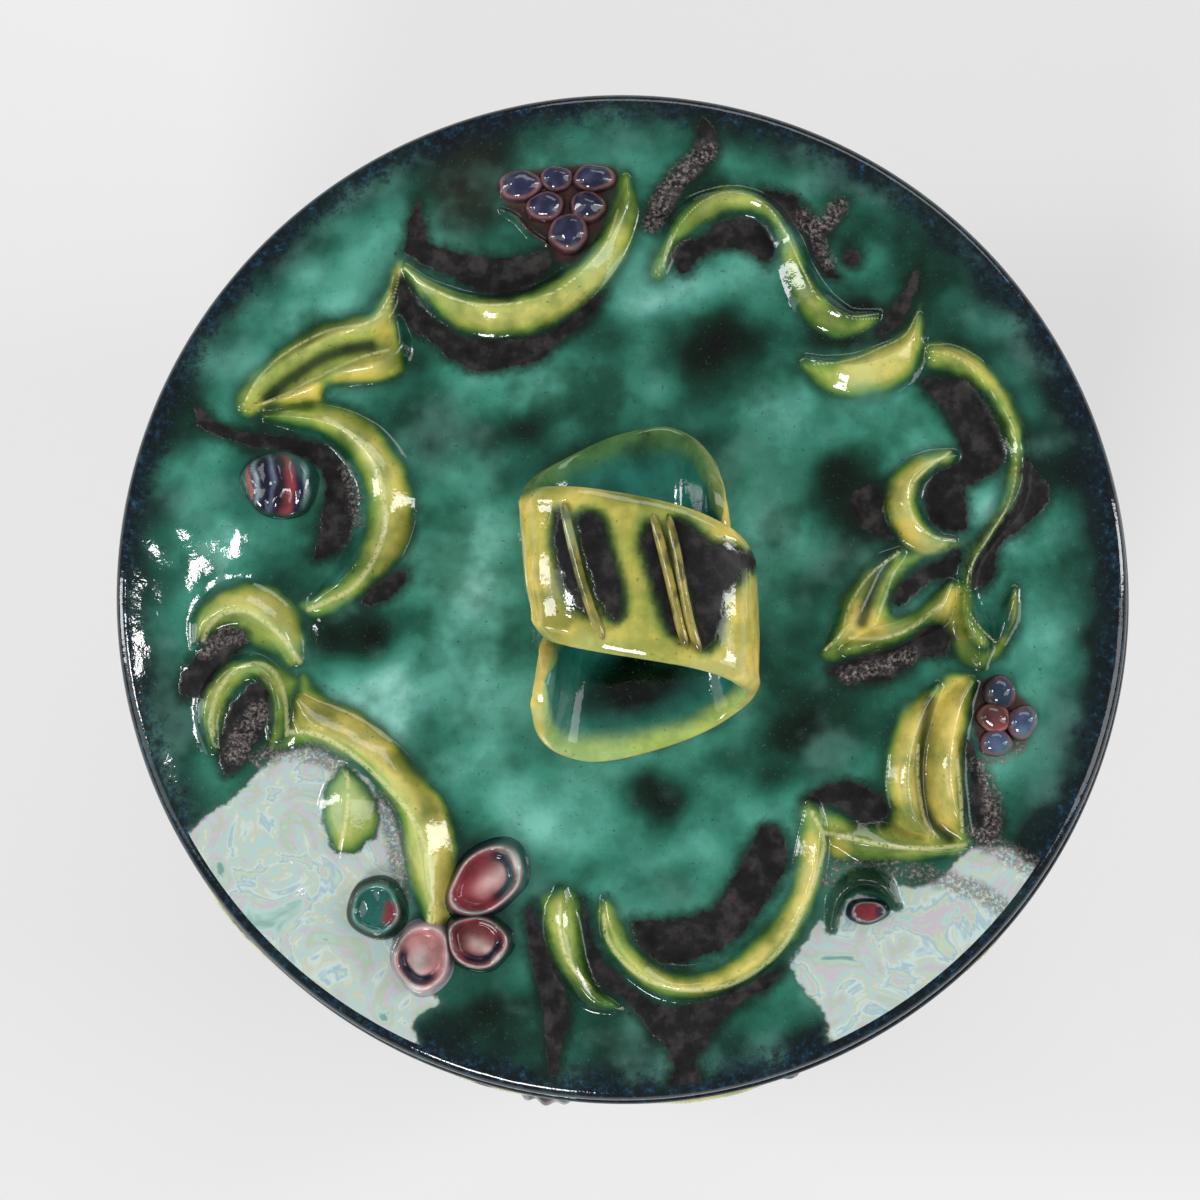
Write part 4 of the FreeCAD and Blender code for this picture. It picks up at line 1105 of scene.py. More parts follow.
def lid_layers(seen, places, reach, height, hood, on_top):
    """Tints and patches of the lid's glaze."""
    tint, cover = garland_tint(ground_tint(seen, places, reach), seen, places, height)
    tint = blend_tint(tint, hood_colour, ease(0.0, 0.8, hood[1]))
    cover = np.maximum(cover, -hood[2])
    rows = np.arange(len(seen))[:, None]
    tint = np.where((rows >= lid_rows_of_top + lid_edge_rows)[..., None], linear(under_colour), tint)
    black = np.minimum(outlines_depth(seen, black_patches_px) * px_size, black_clearance - cover)
    lustre = np.minimum(outlines_depth(seen, lustre_patches_px) * px_size, lustre_clearance - cover)
    ash = np.minimum(stroke_depth(seen, ash_px), ash_clearance - cover)
    return {
        "tint": tint,
        "black": np.where(on_top, black, -far_mm),
        "lustre": np.where(on_top, lustre, -far_mm),
        "ash": np.where(on_top, ash, -far_mm),
        # Distance to the creases, where the glaze gets a painted highlight
        "line": np.where(on_top, run_distance(seen, crease_highlight_px), far_mm),
        "rim": np.where(on_top, (1 - reach) * lid_radius, 0),
    }


def make_lid():
    base, out = turned_grid(lid_profile(), lid_columns, lid_centre)
    rows = len(base)
    places = base[..., :2] - lid_centre
    reach = np.linalg.norm(places, axis=-1) / lid_radius
    on_top = (np.arange(rows) < lid_rows_of_top)[:, None] & (reach < 0.999)
    height, fields = lid_height(base, places, reach)
    points = base + out * np.where(on_top, height, 0)[..., None]
    normals = grid_normals(points)
    layers = lid_layers(seen_at(points), places, reach, height, fields["right_bud_hood"], on_top)
    owners = owners_of(fields, rows, lid_columns)
    owners[lid_rows_of_top - 1:] = -1
    skin_piece("lid_plate", points, normals, layers, owners, base, out)
    for number, name in enumerate(lid_strips):
        sprig_piece(name, owners == number, points, normals, layers, base, out)


# The jar. Its relief is pressed flatter than the lid's, so that the lid hides it from above.
jar_columns = 720
body_strips = strips_in(body_strip_shares, garland_length, jar_height, belly_radius)
body_crest_share = 0.5
body_crest_shares = {"body_waves": 0.75}
body_yellow_share = 0.40
# Where the jar's dark rim and foot start and are full, in millimetres above the floor
jar_rim_heights = (148, 162)
jar_foot_heights = (34, 14)
# Unevenness of the jar and its glaze: strength, wavelength in millimetres and seed
jar_swell = (0.3, 26, 13)
jar_clouds = (0.2, 45, 15)
jar_runs = (0.12, 14, 16)
jar_dark_waver = (5, 22, 17)
body_warmth = (0.25, 16, 31)
body_spot_waver = ((1.3, 9, 61), (0.6, 4, 62))
# How much longer the jar's drips of glaze run downwards than across
run_stretch = (1, 1, 0.4)
jar_ground_level = 0.40


def barrel_radius(height, depth=0.0):
    """Radius of the barrel at a height, or of the surface a depth inside it."""
    reach = barrel_round_radius - depth
    return barrel_centre_r + np.sqrt(reach**2 - (height - belly_height) ** 2)


def jar_profile():
    """Half profile from the middle of the floor, up inside, over the rim and down outside."""
    neck_z = jar_height - rim_height
    mouth_radius = barrel_radius(neck_z, jar_wall_thickness)
    bend_angle = math.atan2(base_round_z - belly_height, base_round_r - barrel_centre_r)
    bend = math.degrees(bend_angle)
    floor_z = base_z + jar_wall_thickness
    inner_round = base_round_radius - jar_wall_thickness
    floor_row = straight_rows((0.15, floor_z), (base_round_r - 1, floor_z), 8)
    inner_bend = arc_rows((base_round_r, base_round_z), inner_round, -90, bend, 8)
    inner_z = np.linspace(inner_bend[-1, 1] + 2, neck_z, 24)
    inner = np.stack((barrel_radius(inner_z, jar_wall_thickness), inner_z), -1)
    lip_z = jar_height - rim_edge_round
    lip_in = arc_rows((mouth_radius + rim_edge_round, lip_z), rim_edge_round, 180, 90, 5)
    lip_out = arc_rows((rim_radius - rim_edge_round, lip_z), rim_edge_round, 90, 0, 5)
    side_end = (rim_radius, jar_height - rim_side_height)
    neck = (barrel_radius(neck_z), neck_z)
    sag = (-rim_flare_sag, rim_flare_sag)
    flare_middle = [(a + b) / 2 + c for a, b, c in zip(side_end, neck, sag)]
    flare = smooth_rows((side_end, flare_middle, neck), 5)
    outer_z = np.linspace(neck_z, base_round_z + base_round_radius * math.sin(bend_angle), 190)
    outer = np.stack((barrel_radius(outer_z), outer_z), -1)
    outer_bend = arc_rows((base_round_r, base_round_z), base_round_radius, bend, -90, 36)
    base_row = straight_rows((base_round_r - 1, base_z), (0.15, base_z), 12)
    return joined_rows(floor_row, inner_bend, inner, lip_in, lip_out, flare, outer, outer_bend, base_row)


def garland_fields(places):
    """Fields of the jar's strips, repeated round the jar."""
    fields = {}
    for name, (lean, stations) in body_strips.items():
        best = strip_field(places + np.array((-garland_length, 0)), stations)
        for shift in (0, garland_length):
            field = strip_field(places + np.array((shift, 0)), stations)
            nearer = np.abs(field[..., 0]) < np.abs(best[..., 0])
            best = np.where(nearer[..., None], field, best)
        best[..., 2] *= body_crest_shares.get(name, body_crest_share)
        fields[name] = (lean, best)
    return fields


def spots_depth(places, spots):
    """How deep places lie inside slanted oval spots of the jar, in millimetres."""
    depth = np.full(places.shape[:-1], -far_mm)
    for along, up, half_long, half_wide, slant in spots:
        for shift in (-garland_length, 0, garland_length):
            away = places - np.array((along * garland_length + shift, up * jar_height))
            angle = math.radians(slant)
            first = away[..., 0] * math.cos(angle) + away[..., 1] * math.sin(angle)
            second = away[..., 1] * math.cos(angle) - away[..., 0] * math.sin(angle)
            bow = second - first**2 / half_long / 3
            gap = np.sqrt((first / half_long) ** 2 + (bow / half_wide) ** 2)
            depth = np.maximum(depth, (1 - gap) * half_wide)
    return depth + ripples(places, *body_spot_waver)


def jar_ground_tint(points):
    """Mottled copper green over the jar, dark at its rim and foot."""
    level = jar_ground_level + ripples(points, jar_clouds) + ripples(points * run_stretch, jar_runs)
    tint = ramp_tint(level, ground_ramp)
    height = points[..., 2] + ripples(points, jar_dark_waver)
    dark = np.maximum(ease(*jar_rim_heights, height), ease(*jar_foot_heights, height))
    return blend_tint(tint, jar_rim_colour, dark)


def strip_tints(tint, fields, strips, points):
    """Paints halos, then strips, on the ground's tints; returns tints and crest lines for painted
    highlights.
    """
    line = np.full(tint.shape[:-1], far_mm)
    warm = np.clip(body_yellow_share + ripples(points, body_warmth), 0, 1)
    for across, high, outside, share in fields.values():
        halo = bell(np.maximum(outside, 0), 0, body_halo_reach) * body_halo_strength
        tint = blend_tint(tint, halo_colour, halo)
    for name, (across, high, outside, share) in fields.items():
        local = blend_tint(ramp_tint(share, green_ramp), ramp_tint(share, yellow_ramp), warm)
        tint = blend_tint(tint, local, ease(0.0, 0.9, high) * (outside < 0))
        half_width = np.abs(outside) / np.maximum(np.abs(np.abs(across) - 1), 0.01)
        crest_gap = np.abs(across - strips[name][0]) * half_width
        line = np.where(outside < 0, np.minimum(line, crest_gap), line)
    return tint, line


def round_jar(values):
    """Values over one length of the garland, repeated round the jar."""
    return np.tile(values, (1, garland_lengths))


def make_jar():
    base, out = turned_grid(jar_profile(), jar_columns, (0, 0))
    third = jar_columns // garland_lengths
    heights = base[:, :third, 2]
    along = np.broadcast_to(np.arange(third) / third * garland_length, heights.shape)
    places = np.stack((along, heights), -1)
    rim_z = jar_height - rim_height
    start = base[:, 0]
    outside = (out[:, 0, 0] > 0.05) & (start[:, 2] < rim_z + 0.5)
    outside &= np.linalg.norm(start[:, :2], axis=-1) > base_round_r
    height, fields = relief(garland_fields(places))
    keep = outside[:, None] * ease(rim_z, rim_z - 3, heights)
    all_height = round_jar(height * keep) + ripples(base, jar_swell) * round_jar(keep)
    points = base + out * all_height[..., None]
    normals = grid_normals(points)
    all_fields = {name: tuple(round_jar(part) for part in field) for name, field in fields.items()}
    tint, line = strip_tints(jar_ground_tint(base), all_fields, body_strips, base)
    shown = outside | (start[:, 2] > rim_z)
    layers = {
        "tint": np.where(shown[:, None, None], tint, linear(inside_colour)),
        # Distance to the crest lines, where the glaze gets a painted highlight
        "line": np.where(outside[:, None], line, far_mm),
        "rim": np.broadcast_to(np.clip(jar_height - 3 - heights[:, :1], 0, 30), base.shape[:2]) + 0.0,
    }
    for key, spots in body_spots.items():
        layers[key] = np.where(outside[:, None], round_jar(spots_depth(places, spots)), -far_mm)
    owners = owners_of(all_fields, len(base), jar_columns)
    owners[~outside[:-1] | ~outside[1:]] = -1
    skin_piece("jar_wall", points, normals, layers, owners, base, out)
    for number, name in enumerate(body_strips):
        sprig_piece(name, owners == number, points, normals, layers, base, out)


# Dull black, ashy and pearly spots on the jar: along and up as shares, half length and half
# width in millimetres, and slant in degrees
body_spots = {
    "black": (
        (0.19, 0.4, 20, 5, 8), (0.4, 0.62, 15, 4.5, 50), (0.64, 0.47, 15, 5, 0), (0.7, 0.72, 22, 4, 0),
        (0.16, 0.71, 11, 4, 0), (0.9, 0.53, 8, 5, 70), (0.42, 0.53, 8, 4, -10), (0.76, 0.22, 16, 4, 20),
        (0.08, 0.2, 12, 4, -30), (0.97, 0.8, 5, 9, 10),
    ),
    "lustre": ((0.34, 0.3, 20, 15, 20), (0.93, 0.24, 16, 11, -20)),
    "ash": ((0.26, 0.38, 7, 3, 60), (0.46, 0.3, 8, 3, -40), (0.88, 0.33, 6, 2.5, 30)),
}


# Pellets: berries, petals and buds
pellet_rings = 26
pellet_spokes = 64
pellet_root = 1.2
pellet_wobble = 0.1
pellet_waver = 0.08
bud_bow = 0.22
berry_pale = (98, 92, 118)
berry_dark = (24, 24, 48)
berry_foot = (70, 34, 34)
petal_navy = (26, 26, 52)
petal_line = (190, 206, 206)
bud_foot = (20, 58, 48)
dot_line = (120, 170, 160)


def on_lid(places):
    """Points of the dome over flat places, and the ways out of it."""
    reach = np.linalg.norm(places, axis=-1)
    low = dome_z(reach, dome_radius)
    points = np.concatenate((places + lid_centre, low[..., None]), -1)
    away = (points - np.array((lid_centre[0], lid_centre[1], dome_centre_z))) / dome_radius
    return points + away * mound_rise(points)[..., None], away


def on_jar(places):
    """Points of the barrel over places along and up it, and the ways out of it."""
    angle = places[..., 0] / belly_radius
    radius = barrel_radius(places[..., 1])
    points = np.stack((radius * np.cos(angle), radius * np.sin(angle), places[..., 1]), -1)
    reach = radius - barrel_centre_r
    away = (reach * np.cos(angle), reach * np.sin(angle), places[..., 1] - belly_height)
    return points, np.stack(away, -1) / barrel_round_radius


def berry_form(ring, first, second):
    """A round berry."""
    return (1 - ring**2.3) ** 0.6


def petal_form(ring, first, second):
    """A pinched rim round a thumbed hollow, which is deepest towards the hub."""
    hollow = 0.42 - 0.16 * first
    return np.maximum(bell(ring, 0.74, 0.2), hollow * ease(0.9, 0.7, ring)) * ease(1.0, 0.86, ring)


def bud_form(ring, first, second):
    """Folded petals side by side."""
    folds = 0.8 + 0.2 * np.cos(2 * math.pi * (first + bud_bow * second**2) * 1.55 - 0.6)
    return (1 - ring**2.4) ** 0.7 * folds


def dot_form(ring, first, second):
    """A domed disc with a raised edge line."""
    return (1 - ring**3) ** 0.7 * 0.8 + 0.25 * bell(ring, 0.7, 0.09)


def berry_paint(ring, first, second, shade, places):
    """Blue violet with a pink-brown rim, on a red-brown foot."""
    core, rim = shade
    mottle = ripples(places, (0.35, 3.5, 41))
    tint = blend_tint(core, berry_pale, np.clip(mottle, 0, 1))
    tint = blend_tint(tint, berry_dark, np.clip(-mottle, 0, 1))
    tint = blend_tint(tint, rim, bell(ring, 0.80, 0.08))
    return blend_tint(tint, berry_foot, ease(0.86, 0.96, ring))


def petal_paint(ring, first, second, shade, places):
    """Pink inside with a pale band and a navy arc, a pale rim line and a dark glassy back."""
    inside, band, back = shade
    tint = blend_tint(inside, band, bell(second, -0.1, 0.26) * ease(-0.5, 0.1, first))
    navy = ease(0.40, 0.50, ring) * ease(0.72, 0.64, ring) * ease(0.0, 0.35, first - 0.5 * second)
    tint = blend_tint(tint, petal_navy, navy)
    tint = blend_tint(tint, back, ease(0.80, 0.88, ring))
    return blend_tint(tint, petal_line, bell(ring, 0.77, 0.028) * 0.8)


bud_stripes = (
    (-1.0, (44, 118, 100)), (-0.84, (36, 96, 84)), (-0.7, (168, 92, 92)), (-0.6, (40, 46, 66)),
    (-0.5, (140, 160, 170)), (-0.42, (28, 34, 54)), (-0.22, (24, 26, 48)), (-0.1, (96, 108, 130)),
    (0.02, (26, 24, 46)), (0.16, (52, 32, 50)), (0.26, (132, 56, 68)), (0.38, (146, 62, 70)),
    (0.48, (30, 28, 54)), (0.62, (28, 30, 54)), (0.72, (112, 142, 146)), (0.82, (30, 60, 62)),
    (1.0, (16, 44, 38)),
)


def bud_paint(ring, first, second, shade, places):
    """Stripes of navy, white and pink along the folds."""
    tint = ramp_tint(first + bud_bow * second**2 + ripples(places, (0.05, 5, 51)), bud_stripes)
    return blend_tint(tint, bud_foot, ease(0.8, 0.95, ring))


def dot_paint(ring, first, second, shade, places):
    """Disc of one colour in a pale edge line, with a dark glassy back."""
    inside, wedge, back = shade
    tint = blend_tint(inside, wedge, ease(0.15, 0.4, first) * ease(0.5, 0.25, np.abs(second)))
    tint = blend_tint(tint, back, ease(0.72, 0.82, ring))
    return blend_tint(tint, dot_line, bell(ring, 0.70, 0.05) * 0.6)


def pellet_places(row, chance):
    """Flat places over one pellet, from its middle outwards, with an uneven outline."""
    across, up, half_long, half_wide, turn = row[:5]
    ring = np.linspace(0, 1, pellet_rings)[1:, None] ** 0.8
    spoke = turns(pellet_spokes)[None]
    first, second = ring * np.cos(spoke), ring * np.sin(spoke)
    wobble = 1
    for order in (2, 3, 5):
        wobble = wobble + pellet_wobble / order * np.cos(order * spoke + chance.uniform(0, 6.3))
    angle = math.radians(turn)
    long_way = first * half_long * wobble
    wide_way = second * half_wide * wobble
    offset_x = long_way * math.cos(angle) - wide_way * math.sin(angle)
    offset_y = long_way * math.sin(angle) + wide_way * math.cos(angle)
    return ring, first, second, np.stack((across + offset_x, up + offset_y), -1)


def pellet_faces(start):
    """Faces of one pellet: its sides, and fans round its peak and root."""
    block = (pellet_rings - 1) * pellet_spokes
    here = np.arange(pellet_spokes)
    after = np.roll(here, -1)
    peak = np.full(pellet_spokes, block + pellet_spokes)
    quads = grid_quads(pellet_rings, pellet_spokes).reshape(-1, 4)
    fans = (np.stack((peak, here, after), -1), np.stack((peak + 1, block + after, block + here), -1))
    return [group + start for group in (quads, *fans)]


def pellet_piece(name, rows, surface, form, paint, seed):
    """Pressed pellets of one node: place, half length, half width, turn, crest and shade."""
    chance = np.random.default_rng(seed)
    points, layers, faces, normals = [], [], [], []
    for number, row in enumerate(rows):
        ring, first, second, places = pellet_places(row, chance)
        crest, shade = row[5:]
        base, out = surface(places)
        high = crest * form(ring, first, second) * (1 + ripples(places, (pellet_waver, 5, seed + number)))
        top = base + out * high[..., None]
        low = base[-1] - out[-1] * pellet_root
        centre, centre_out = surface(np.array(row[:2]))
        peak = centre + centre_out * high[0].mean()
        faces += pellet_faces(sum(len(part) for part in points))
        points += [top.reshape(-1, 3), low, [peak, centre - centre_out * pellet_root]]
        way = grid_normals(np.concatenate((top, low[None])))
        inward = (way * np.concatenate((out, out[-1:]))).sum(-1, keepdims=True) < 0
        way = np.where(inward, -way, way)
        way[-1] = -out[-1]
        normals += [way.reshape(-1, 3), [centre_out, -centre_out]]
        tint = paint(ring, first, second, shade, places)
        layers += [tint.reshape(-1, 3), tint[-1], [tint[0].mean(0), tint[-1, 0]]]
    layers = plain_layers(np.concatenate(layers))
    mesh_piece(name, np.concatenate(points), faces, layers, np.concatenate(normals))


# Glaze of berries, from core to rim
grape_shade = ((44, 46, 74), (134, 92, 92))
side_shade = ((66, 82, 112), (126, 72, 76))
red_shade = ((150, 74, 76), (176, 120, 114))
# Pellets of the lid: across and back, half length and half width in thousandths of the lid's
# radius, turn in degrees, crest in thousandths, and the colours of the glaze. On the jar,
# places and sizes are shares of the same lengths as the strips'.
lid_pellet_shares = {
    "grape_berries": (berry_form, berry_paint, (
        (-202, 806, 48, 34, 12, 30, grape_shade), (-130, 819, 34, 30, 0, 28, grape_shade),
        (-56, 820, 44, 32, 0, 30, grape_shade), (-152, 762, 42, 32, 20, 32, grape_shade),
        (-68, 762, 40, 33, -20, 32, grape_shade), (-106, 708, 45, 41, 0, 34, grape_shade),
    )),
    "right_berries": (berry_form, berry_paint, (
        (740, -204, 36, 33, -30, 28, side_shade),
        (728, -254, 36, 31, 0, 26, red_shade),
        (784, -262, 37, 31, 80, 28, side_shade), (732, -302, 33, 30, 0, 26, side_shade),
    )),
    "flower_petals": (petal_form, petal_paint, (
        (-264, -572, 94, 70, 38, 44, ((142, 56, 66), (222, 178, 174), (16, 40, 50))),
        (-281, -690, 72, 60, -30, 38, ((150, 62, 70), (224, 180, 176), (14, 56, 48))),
        (-388, -720, 74, 68, -100, 36, ((206, 138, 140), (216, 190, 192), (160, 152, 162))),
    )),
    "flower_side_bud": (dot_form, dot_paint, (
        (-478, -626, 64, 60, -15, 42, ((34, 92, 86), (120, 52, 60), (12, 44, 32))),
    )),
    "left_bud": (bud_form, bud_paint, ((-672, 205, 78, 70, 0, 38, None),)),
    "right_bud_heart": (dot_form, dot_paint, (
        (479, -632, 46, 25, 0, 24, ((122, 46, 54), (66, 36, 54), (30, 34, 52))),
    )),
}
body_pellet_shares = {
    "body_berries": (berry_form, berry_paint, (
        (595, 530, 36, 31, 10, 30, grape_shade), (638, 520, 36, 32, 0, 32, grape_shade),
        (682, 530, 35, 31, -10, 30, grape_shade), (616, 592, 35, 31, 0, 30, grape_shade),
        (660, 592, 35, 31, 0, 30, grape_shade), (638, 655, 32, 30, 0, 28, grape_shade),
    )),
    "body_buds": (bud_form, bud_paint, ((172, 655, 70, 62, 0, 28, None), (424, 560, 64, 56, 30, 28, None))),
}


def sized_pellet(row, place, size):
    """A pellet's row in millimetres, from its place and the length that its sizes share in."""
    half_long, half_wide, turn, crest, shade = row[2:]
    return (*place, half_long / 1000 * size, half_wide / 1000 * size, turn, crest / 1000 * size, shade)


def make_pellets():
    for seed, (name, (form, paint, rows)) in enumerate(lid_pellet_shares.items()):
        sized = [
            sized_pellet(row, [share / 1000 * lid_radius for share in row[:2]], lid_radius) for row in rows
        ]
        pellet_piece(name, sized, on_lid, form, paint, 60 + 7 * seed)
    for seed, (name, (form, paint, rows)) in enumerate(body_pellet_shares.items()):
        sized = []
        for number in range(garland_lengths):
            for row in rows:
                place = ((number + row[0] / 1000) * garland_length, row[1] / 1000 * jar_height)
                sized.append(sized_pellet(row, place, belly_radius))
        pellet_piece(name, sized, on_jar, form, paint, 160 + 7 * seed)


# The strap handle
strap_steps = 10
strap_columns = 72
strap_crown = 27.9
strap_swell = (0.25, 14, 23)
strap_taper_rings = 6
strap_lip = (0.25, 0.86, 0.1)
strap_black_height = 12.0
strap_yellow = (230, 200, 100)
strap_green = (140, 156, 72)
strap_olive = (124, 152, 66)
strap_deep = (20, 58, 36)
strap_edge_green = (96, 132, 72)
strap_front_rim = (168, 186, 96)
strap_rear_rim = (84, 124, 70)
strap_teal = (38, 118, 104)
strap_pale_teal = (70, 142, 128)
strap_shadow = (40, 96, 66)
# Painted shade inside the front turn of the strap, under the crown
strap_loop_shade = (4, 18, 12)
vein_colour = (156, 142, 70)
vein_fleck = (46, 52, 28)


def strap_frames():
    """Middles of the strap, ways across and out of it, and its half widths."""
    rows = smooth_rows(strap_edges_px, strap_steps)
    height = rows[:, 4] + lid_top_z
    rear = place_at(rows[:, 0:2], height)
    front = place_at(rows[:, 2:4], height)
    middle = (rear + front) / 2
    side = rear - front
    width = np.linalg.norm(side, axis=1)
    side /= width[:, None]
    out = np.cross(np.gradient(middle, axis=0), side)
    out /= np.linalg.norm(out, axis=1)[:, None]
    return middle, side, out, width / 2


def squared(value, squareness):
    """Runs a circle's cosine or sine out towards a square's."""
    return np.sign(value) * np.abs(value) ** (2 / squareness)


def strap_grid(middle, side, out, half_width):
    """Rings of the strap's section, with their places across it and through it."""
    around = turns(strap_columns)
    wide = squared(np.cos(around), strap_squareness)
    thick = squared(np.sin(around), strap_squareness)
    lip_rise, lip_middle, lip_reach = strap_lip
    lip = 1 + lip_rise * bell(np.abs(wide), lip_middle, lip_reach) * (thick > 0)
    ends = np.minimum(np.arange(len(middle)), np.arange(len(middle))[::-1]) / strap_taper_rings
    taper = np.where(ends < 1, np.sqrt(np.clip(1 - (1 - ends) ** 2, 0.05, 1)), 1)
    across = side[:, None] * (wide[:, None] * (half_width * taper)[:, None, None])
    rise = out[:, None] * ((thick * lip)[:, None] * (strap_thickness / 2 * taper)[:, None, None])
    return middle[:, None] + across + rise, wide, thick


def strap_tint(points, seen, wide, thick, turn_share):
    """Yellow outside with green washes round the black strokes; teal inside the turns, with painted shade.
    """
    wash = ripple(points, 12, 21)
    rear = ease(0.46, 0.40, turn_share)[:, None]
    depth = outlines_depth(seen, strap_black_px) * px_size
    middle = bell(turn_share, 0.5, 0.10)[:, None]
    outer = blend_tint(strap_yellow, strap_green, np.clip(0.55 * middle + 0.25 * wash, 0, 1))
    outer = blend_tint(outer, strap_olive, ease(-2.9, -1.1, depth) * 0.8)
    outer = blend_tint(outer, strap_deep, ease(-1.5, -0.2, depth) * 0.9)
    outer = blend_tint(outer, strap_edge_green, 0.85 * rear * ease(0.8, 0.96, np.abs(wide)))
    inner = blend_tint(strap_teal, strap_pale_teal, np.clip(wash, 0, 1) * 0.6)
    # Painted shade across the inside of the front turn, darkest just below the crown
    loop_shade = bell(turn_share, 0.83, 0.06)[:, None] * ease(0.75, 0.1, np.abs(wide + 0.1))
    inner = blend_tint(inner, strap_loop_shade, np.clip(loop_shade * 1.2 + 0.2 * wash, 0, 1))
    inner = blend_tint(inner, strap_shadow, 0.6 * ease(0.45, 0.75, np.abs(wide)))
    rim = blend_tint(strap_front_rim, strap_rear_rim, rear)
    inner = blend_tint(inner, rim, ease(0.62, 0.92, np.abs(wide + 0.05 * wash)))
    face = ease(-0.55, 0.1, thick)
    return blend_tint(inner, outer, face), np.where(face > 0.5, depth, -far_mm)


def make_strap():
    middle, side, out, half_width = strap_frames()
    points, wide, thick = strap_grid(middle, side, out, half_width)
    count = len(points)
    points += ripples(points, strap_swell)[..., None] * out[:, None]
    facing = (grid_normals(points) * (points - middle[:, None])).sum(-1).mean()
    tint, black = strap_tint(points, seen_at(points), wide, thick, np.linspace(0, 1, count))
    black = np.where(points[..., 2] > lid_top_z + strap_black_height, black, -far_mm)
    layers = plain_layers(tint.reshape(-1, 3))
    layers["black"] = black.reshape(-1)
    faces = [grid_quads(count, strap_columns).reshape(-1, 4), *end_faces(count, strap_columns)]
    if facing < 0:
        faces = [group[:, ::-1] for group in faces]
    mesh_piece("handle_strap", points.reshape(-1, 3), faces, layers)


vein_steps = 12
vein_columns = 20
vein_reach = 0.86
vein_proud = 0.1
vein_fade = 0.98
crown_middle_px = 640
crown_half_px = 90
crown_fall = 0.9


def vein_grid(path):
    """Rings of one small ridge that stands on the crown of the strap."""
    seen = smooth_rows(path, vein_steps)
    share = np.linspace(-1, 1, len(seen))
    bow = (1 - np.abs(share * vein_reach) ** strap_squareness) ** (1 / strap_squareness)
    fall = crown_fall * ((seen[:, 0] - crown_middle_px) / crown_half_px) ** 2
    middle = place_at(seen, lid_top_z + strap_crown + strap_thickness / 2 * bow + vein_proud - fall)
    along = np.gradient(middle, axis=0)
    along /= np.linalg.norm(along, axis=1)[:, None]
    side = np.cross(along, (0, 0, 1))
    fade = np.sqrt(1 - (share * vein_fade) ** 6)[:, None, None]
    around = turns(vein_columns)[None, :, None]
    wide = np.cos(around) * side[:, None] * (vein_width / 2 * fade)
    high = np.sin(around) * np.array((0, 0, 1)) * (vein_height * 0.8 * fade)
    return middle[:, None] + wide + high


def make_veins():
    points, faces, tints = [], [], []
    for path in veins_px:
        grid = vein_grid(path)
        start = sum(len(part) for part in points)
        points.append(grid.reshape(-1, 3))
        quads = grid_quads(len(grid), vein_columns).reshape(-1, 4)
        faces += [group[:, ::-1] + start for group in (quads, *end_faces(len(grid), vein_columns))]
        fleck = 0.7 * ease(0.0, 0.7, ripple(grid, 3.5, 25))
        tints.append(blend_tint(vein_colour, vein_fleck, fleck).reshape(-1, 3))
    mesh_piece("handle_veins", np.concatenate(points), faces, plain_layers(np.concatenate(tints)))


# Materials
def shader_tree(name):
    """A new material with a plain shader, its node tree and its output."""
    material = bpy.data.materials.new(name)
    material.use_nodes = True
    tree = material.node_tree
    tree.nodes.clear()
    output = tree.nodes.new("ShaderNodeOutputMaterial")
    shader = tree.nodes.new("ShaderNodeBsdfPrincipled")
    put(tree, output.inputs["Surface"], shader.outputs["BSDF"])
    return material, tree, shader, output


def put(tree, socket, value):
    """Sets a socket, or links it where the value is another node's."""
    if isinstance(value, bpy.types.NodeSocket):
        tree.links.new(value, socket)
    elif socket.type == "RGBA":
        socket.default_value = (*linear(value), 1)
    else:
        socket.default_value = value


def maths(tree, operation, first, second):
    node = tree.nodes.new("ShaderNodeMath")
    node.operation = operation
    put(tree, node.inputs[0], first)
    put(tree, node.inputs[1], second)
    return node.outputs[0]


def times(tree, first, second):
    return maths(tree, "MULTIPLY", first, second)


def plus(tree, first, second):
    return maths(tree, "ADD", first, second)


def mixed(tree, share, first, second, kind="MIX"):
    node = tree.nodes.new("ShaderNodeMix")
    node.data_type = "RGBA"
    node.blend_type = kind
    put(tree, node.inputs[0], share)
    put(tree, node.inputs[6], first)
    put(tree, node.inputs[7], second)
    return node.outputs[2]


def mixed_value(tree, share, first, second):
    node = tree.nodes.new("ShaderNodeMix")
    put(tree, node.inputs[0], share)
    put(tree, node.inputs[2], first)
    put(tree, node.inputs[3], second)
    return node.outputs[0]


def stepped(tree, value, low, high, most=1.0):
    """0 at low and the most at high, with a smooth rise between."""
    node = tree.nodes.new("ShaderNodeMapRange")
    node.interpolation_type = "SMOOTHSTEP"
    put(tree, node.inputs["Value"], value)
    node.inputs["From Min"].default_value = low
    node.inputs["From Max"].default_value = high
    node.inputs["To Max"].default_value = most
    return node.outputs["Result"]


def cloud(tree, size, detail, roughness, offset=0.0, warp=0.0):
    """Noise whose lumps are about a size in millimetres."""
    node = tree.nodes.new("ShaderNodeTexNoise")
    where = tree.nodes.new("ShaderNodeTexCoord").outputs["Object"]
    shift = tree.nodes.new("ShaderNodeMapping")
    shift.inputs["Location"].default_value = (offset, offset * 0.7, -offset)
    put(tree, shift.inputs["Vector"], where)
    put(tree, node.inputs["Vector"], shift.outputs["Vector"])
    node.inputs["Scale"].default_value = 1 / (size * MM)
    node.inputs["Detail"].default_value = detail
    node.inputs["Roughness"].default_value = roughness
    node.inputs["Distortion"].default_value = warp
    return node.outputs["Fac"]


def layer(tree, name, socket="Fac"):
    """What a layer of the mesh says at each point."""
    node = tree.nodes.new("ShaderNodeAttribute")
    node.attribute_name = name
    return node.outputs[socket]


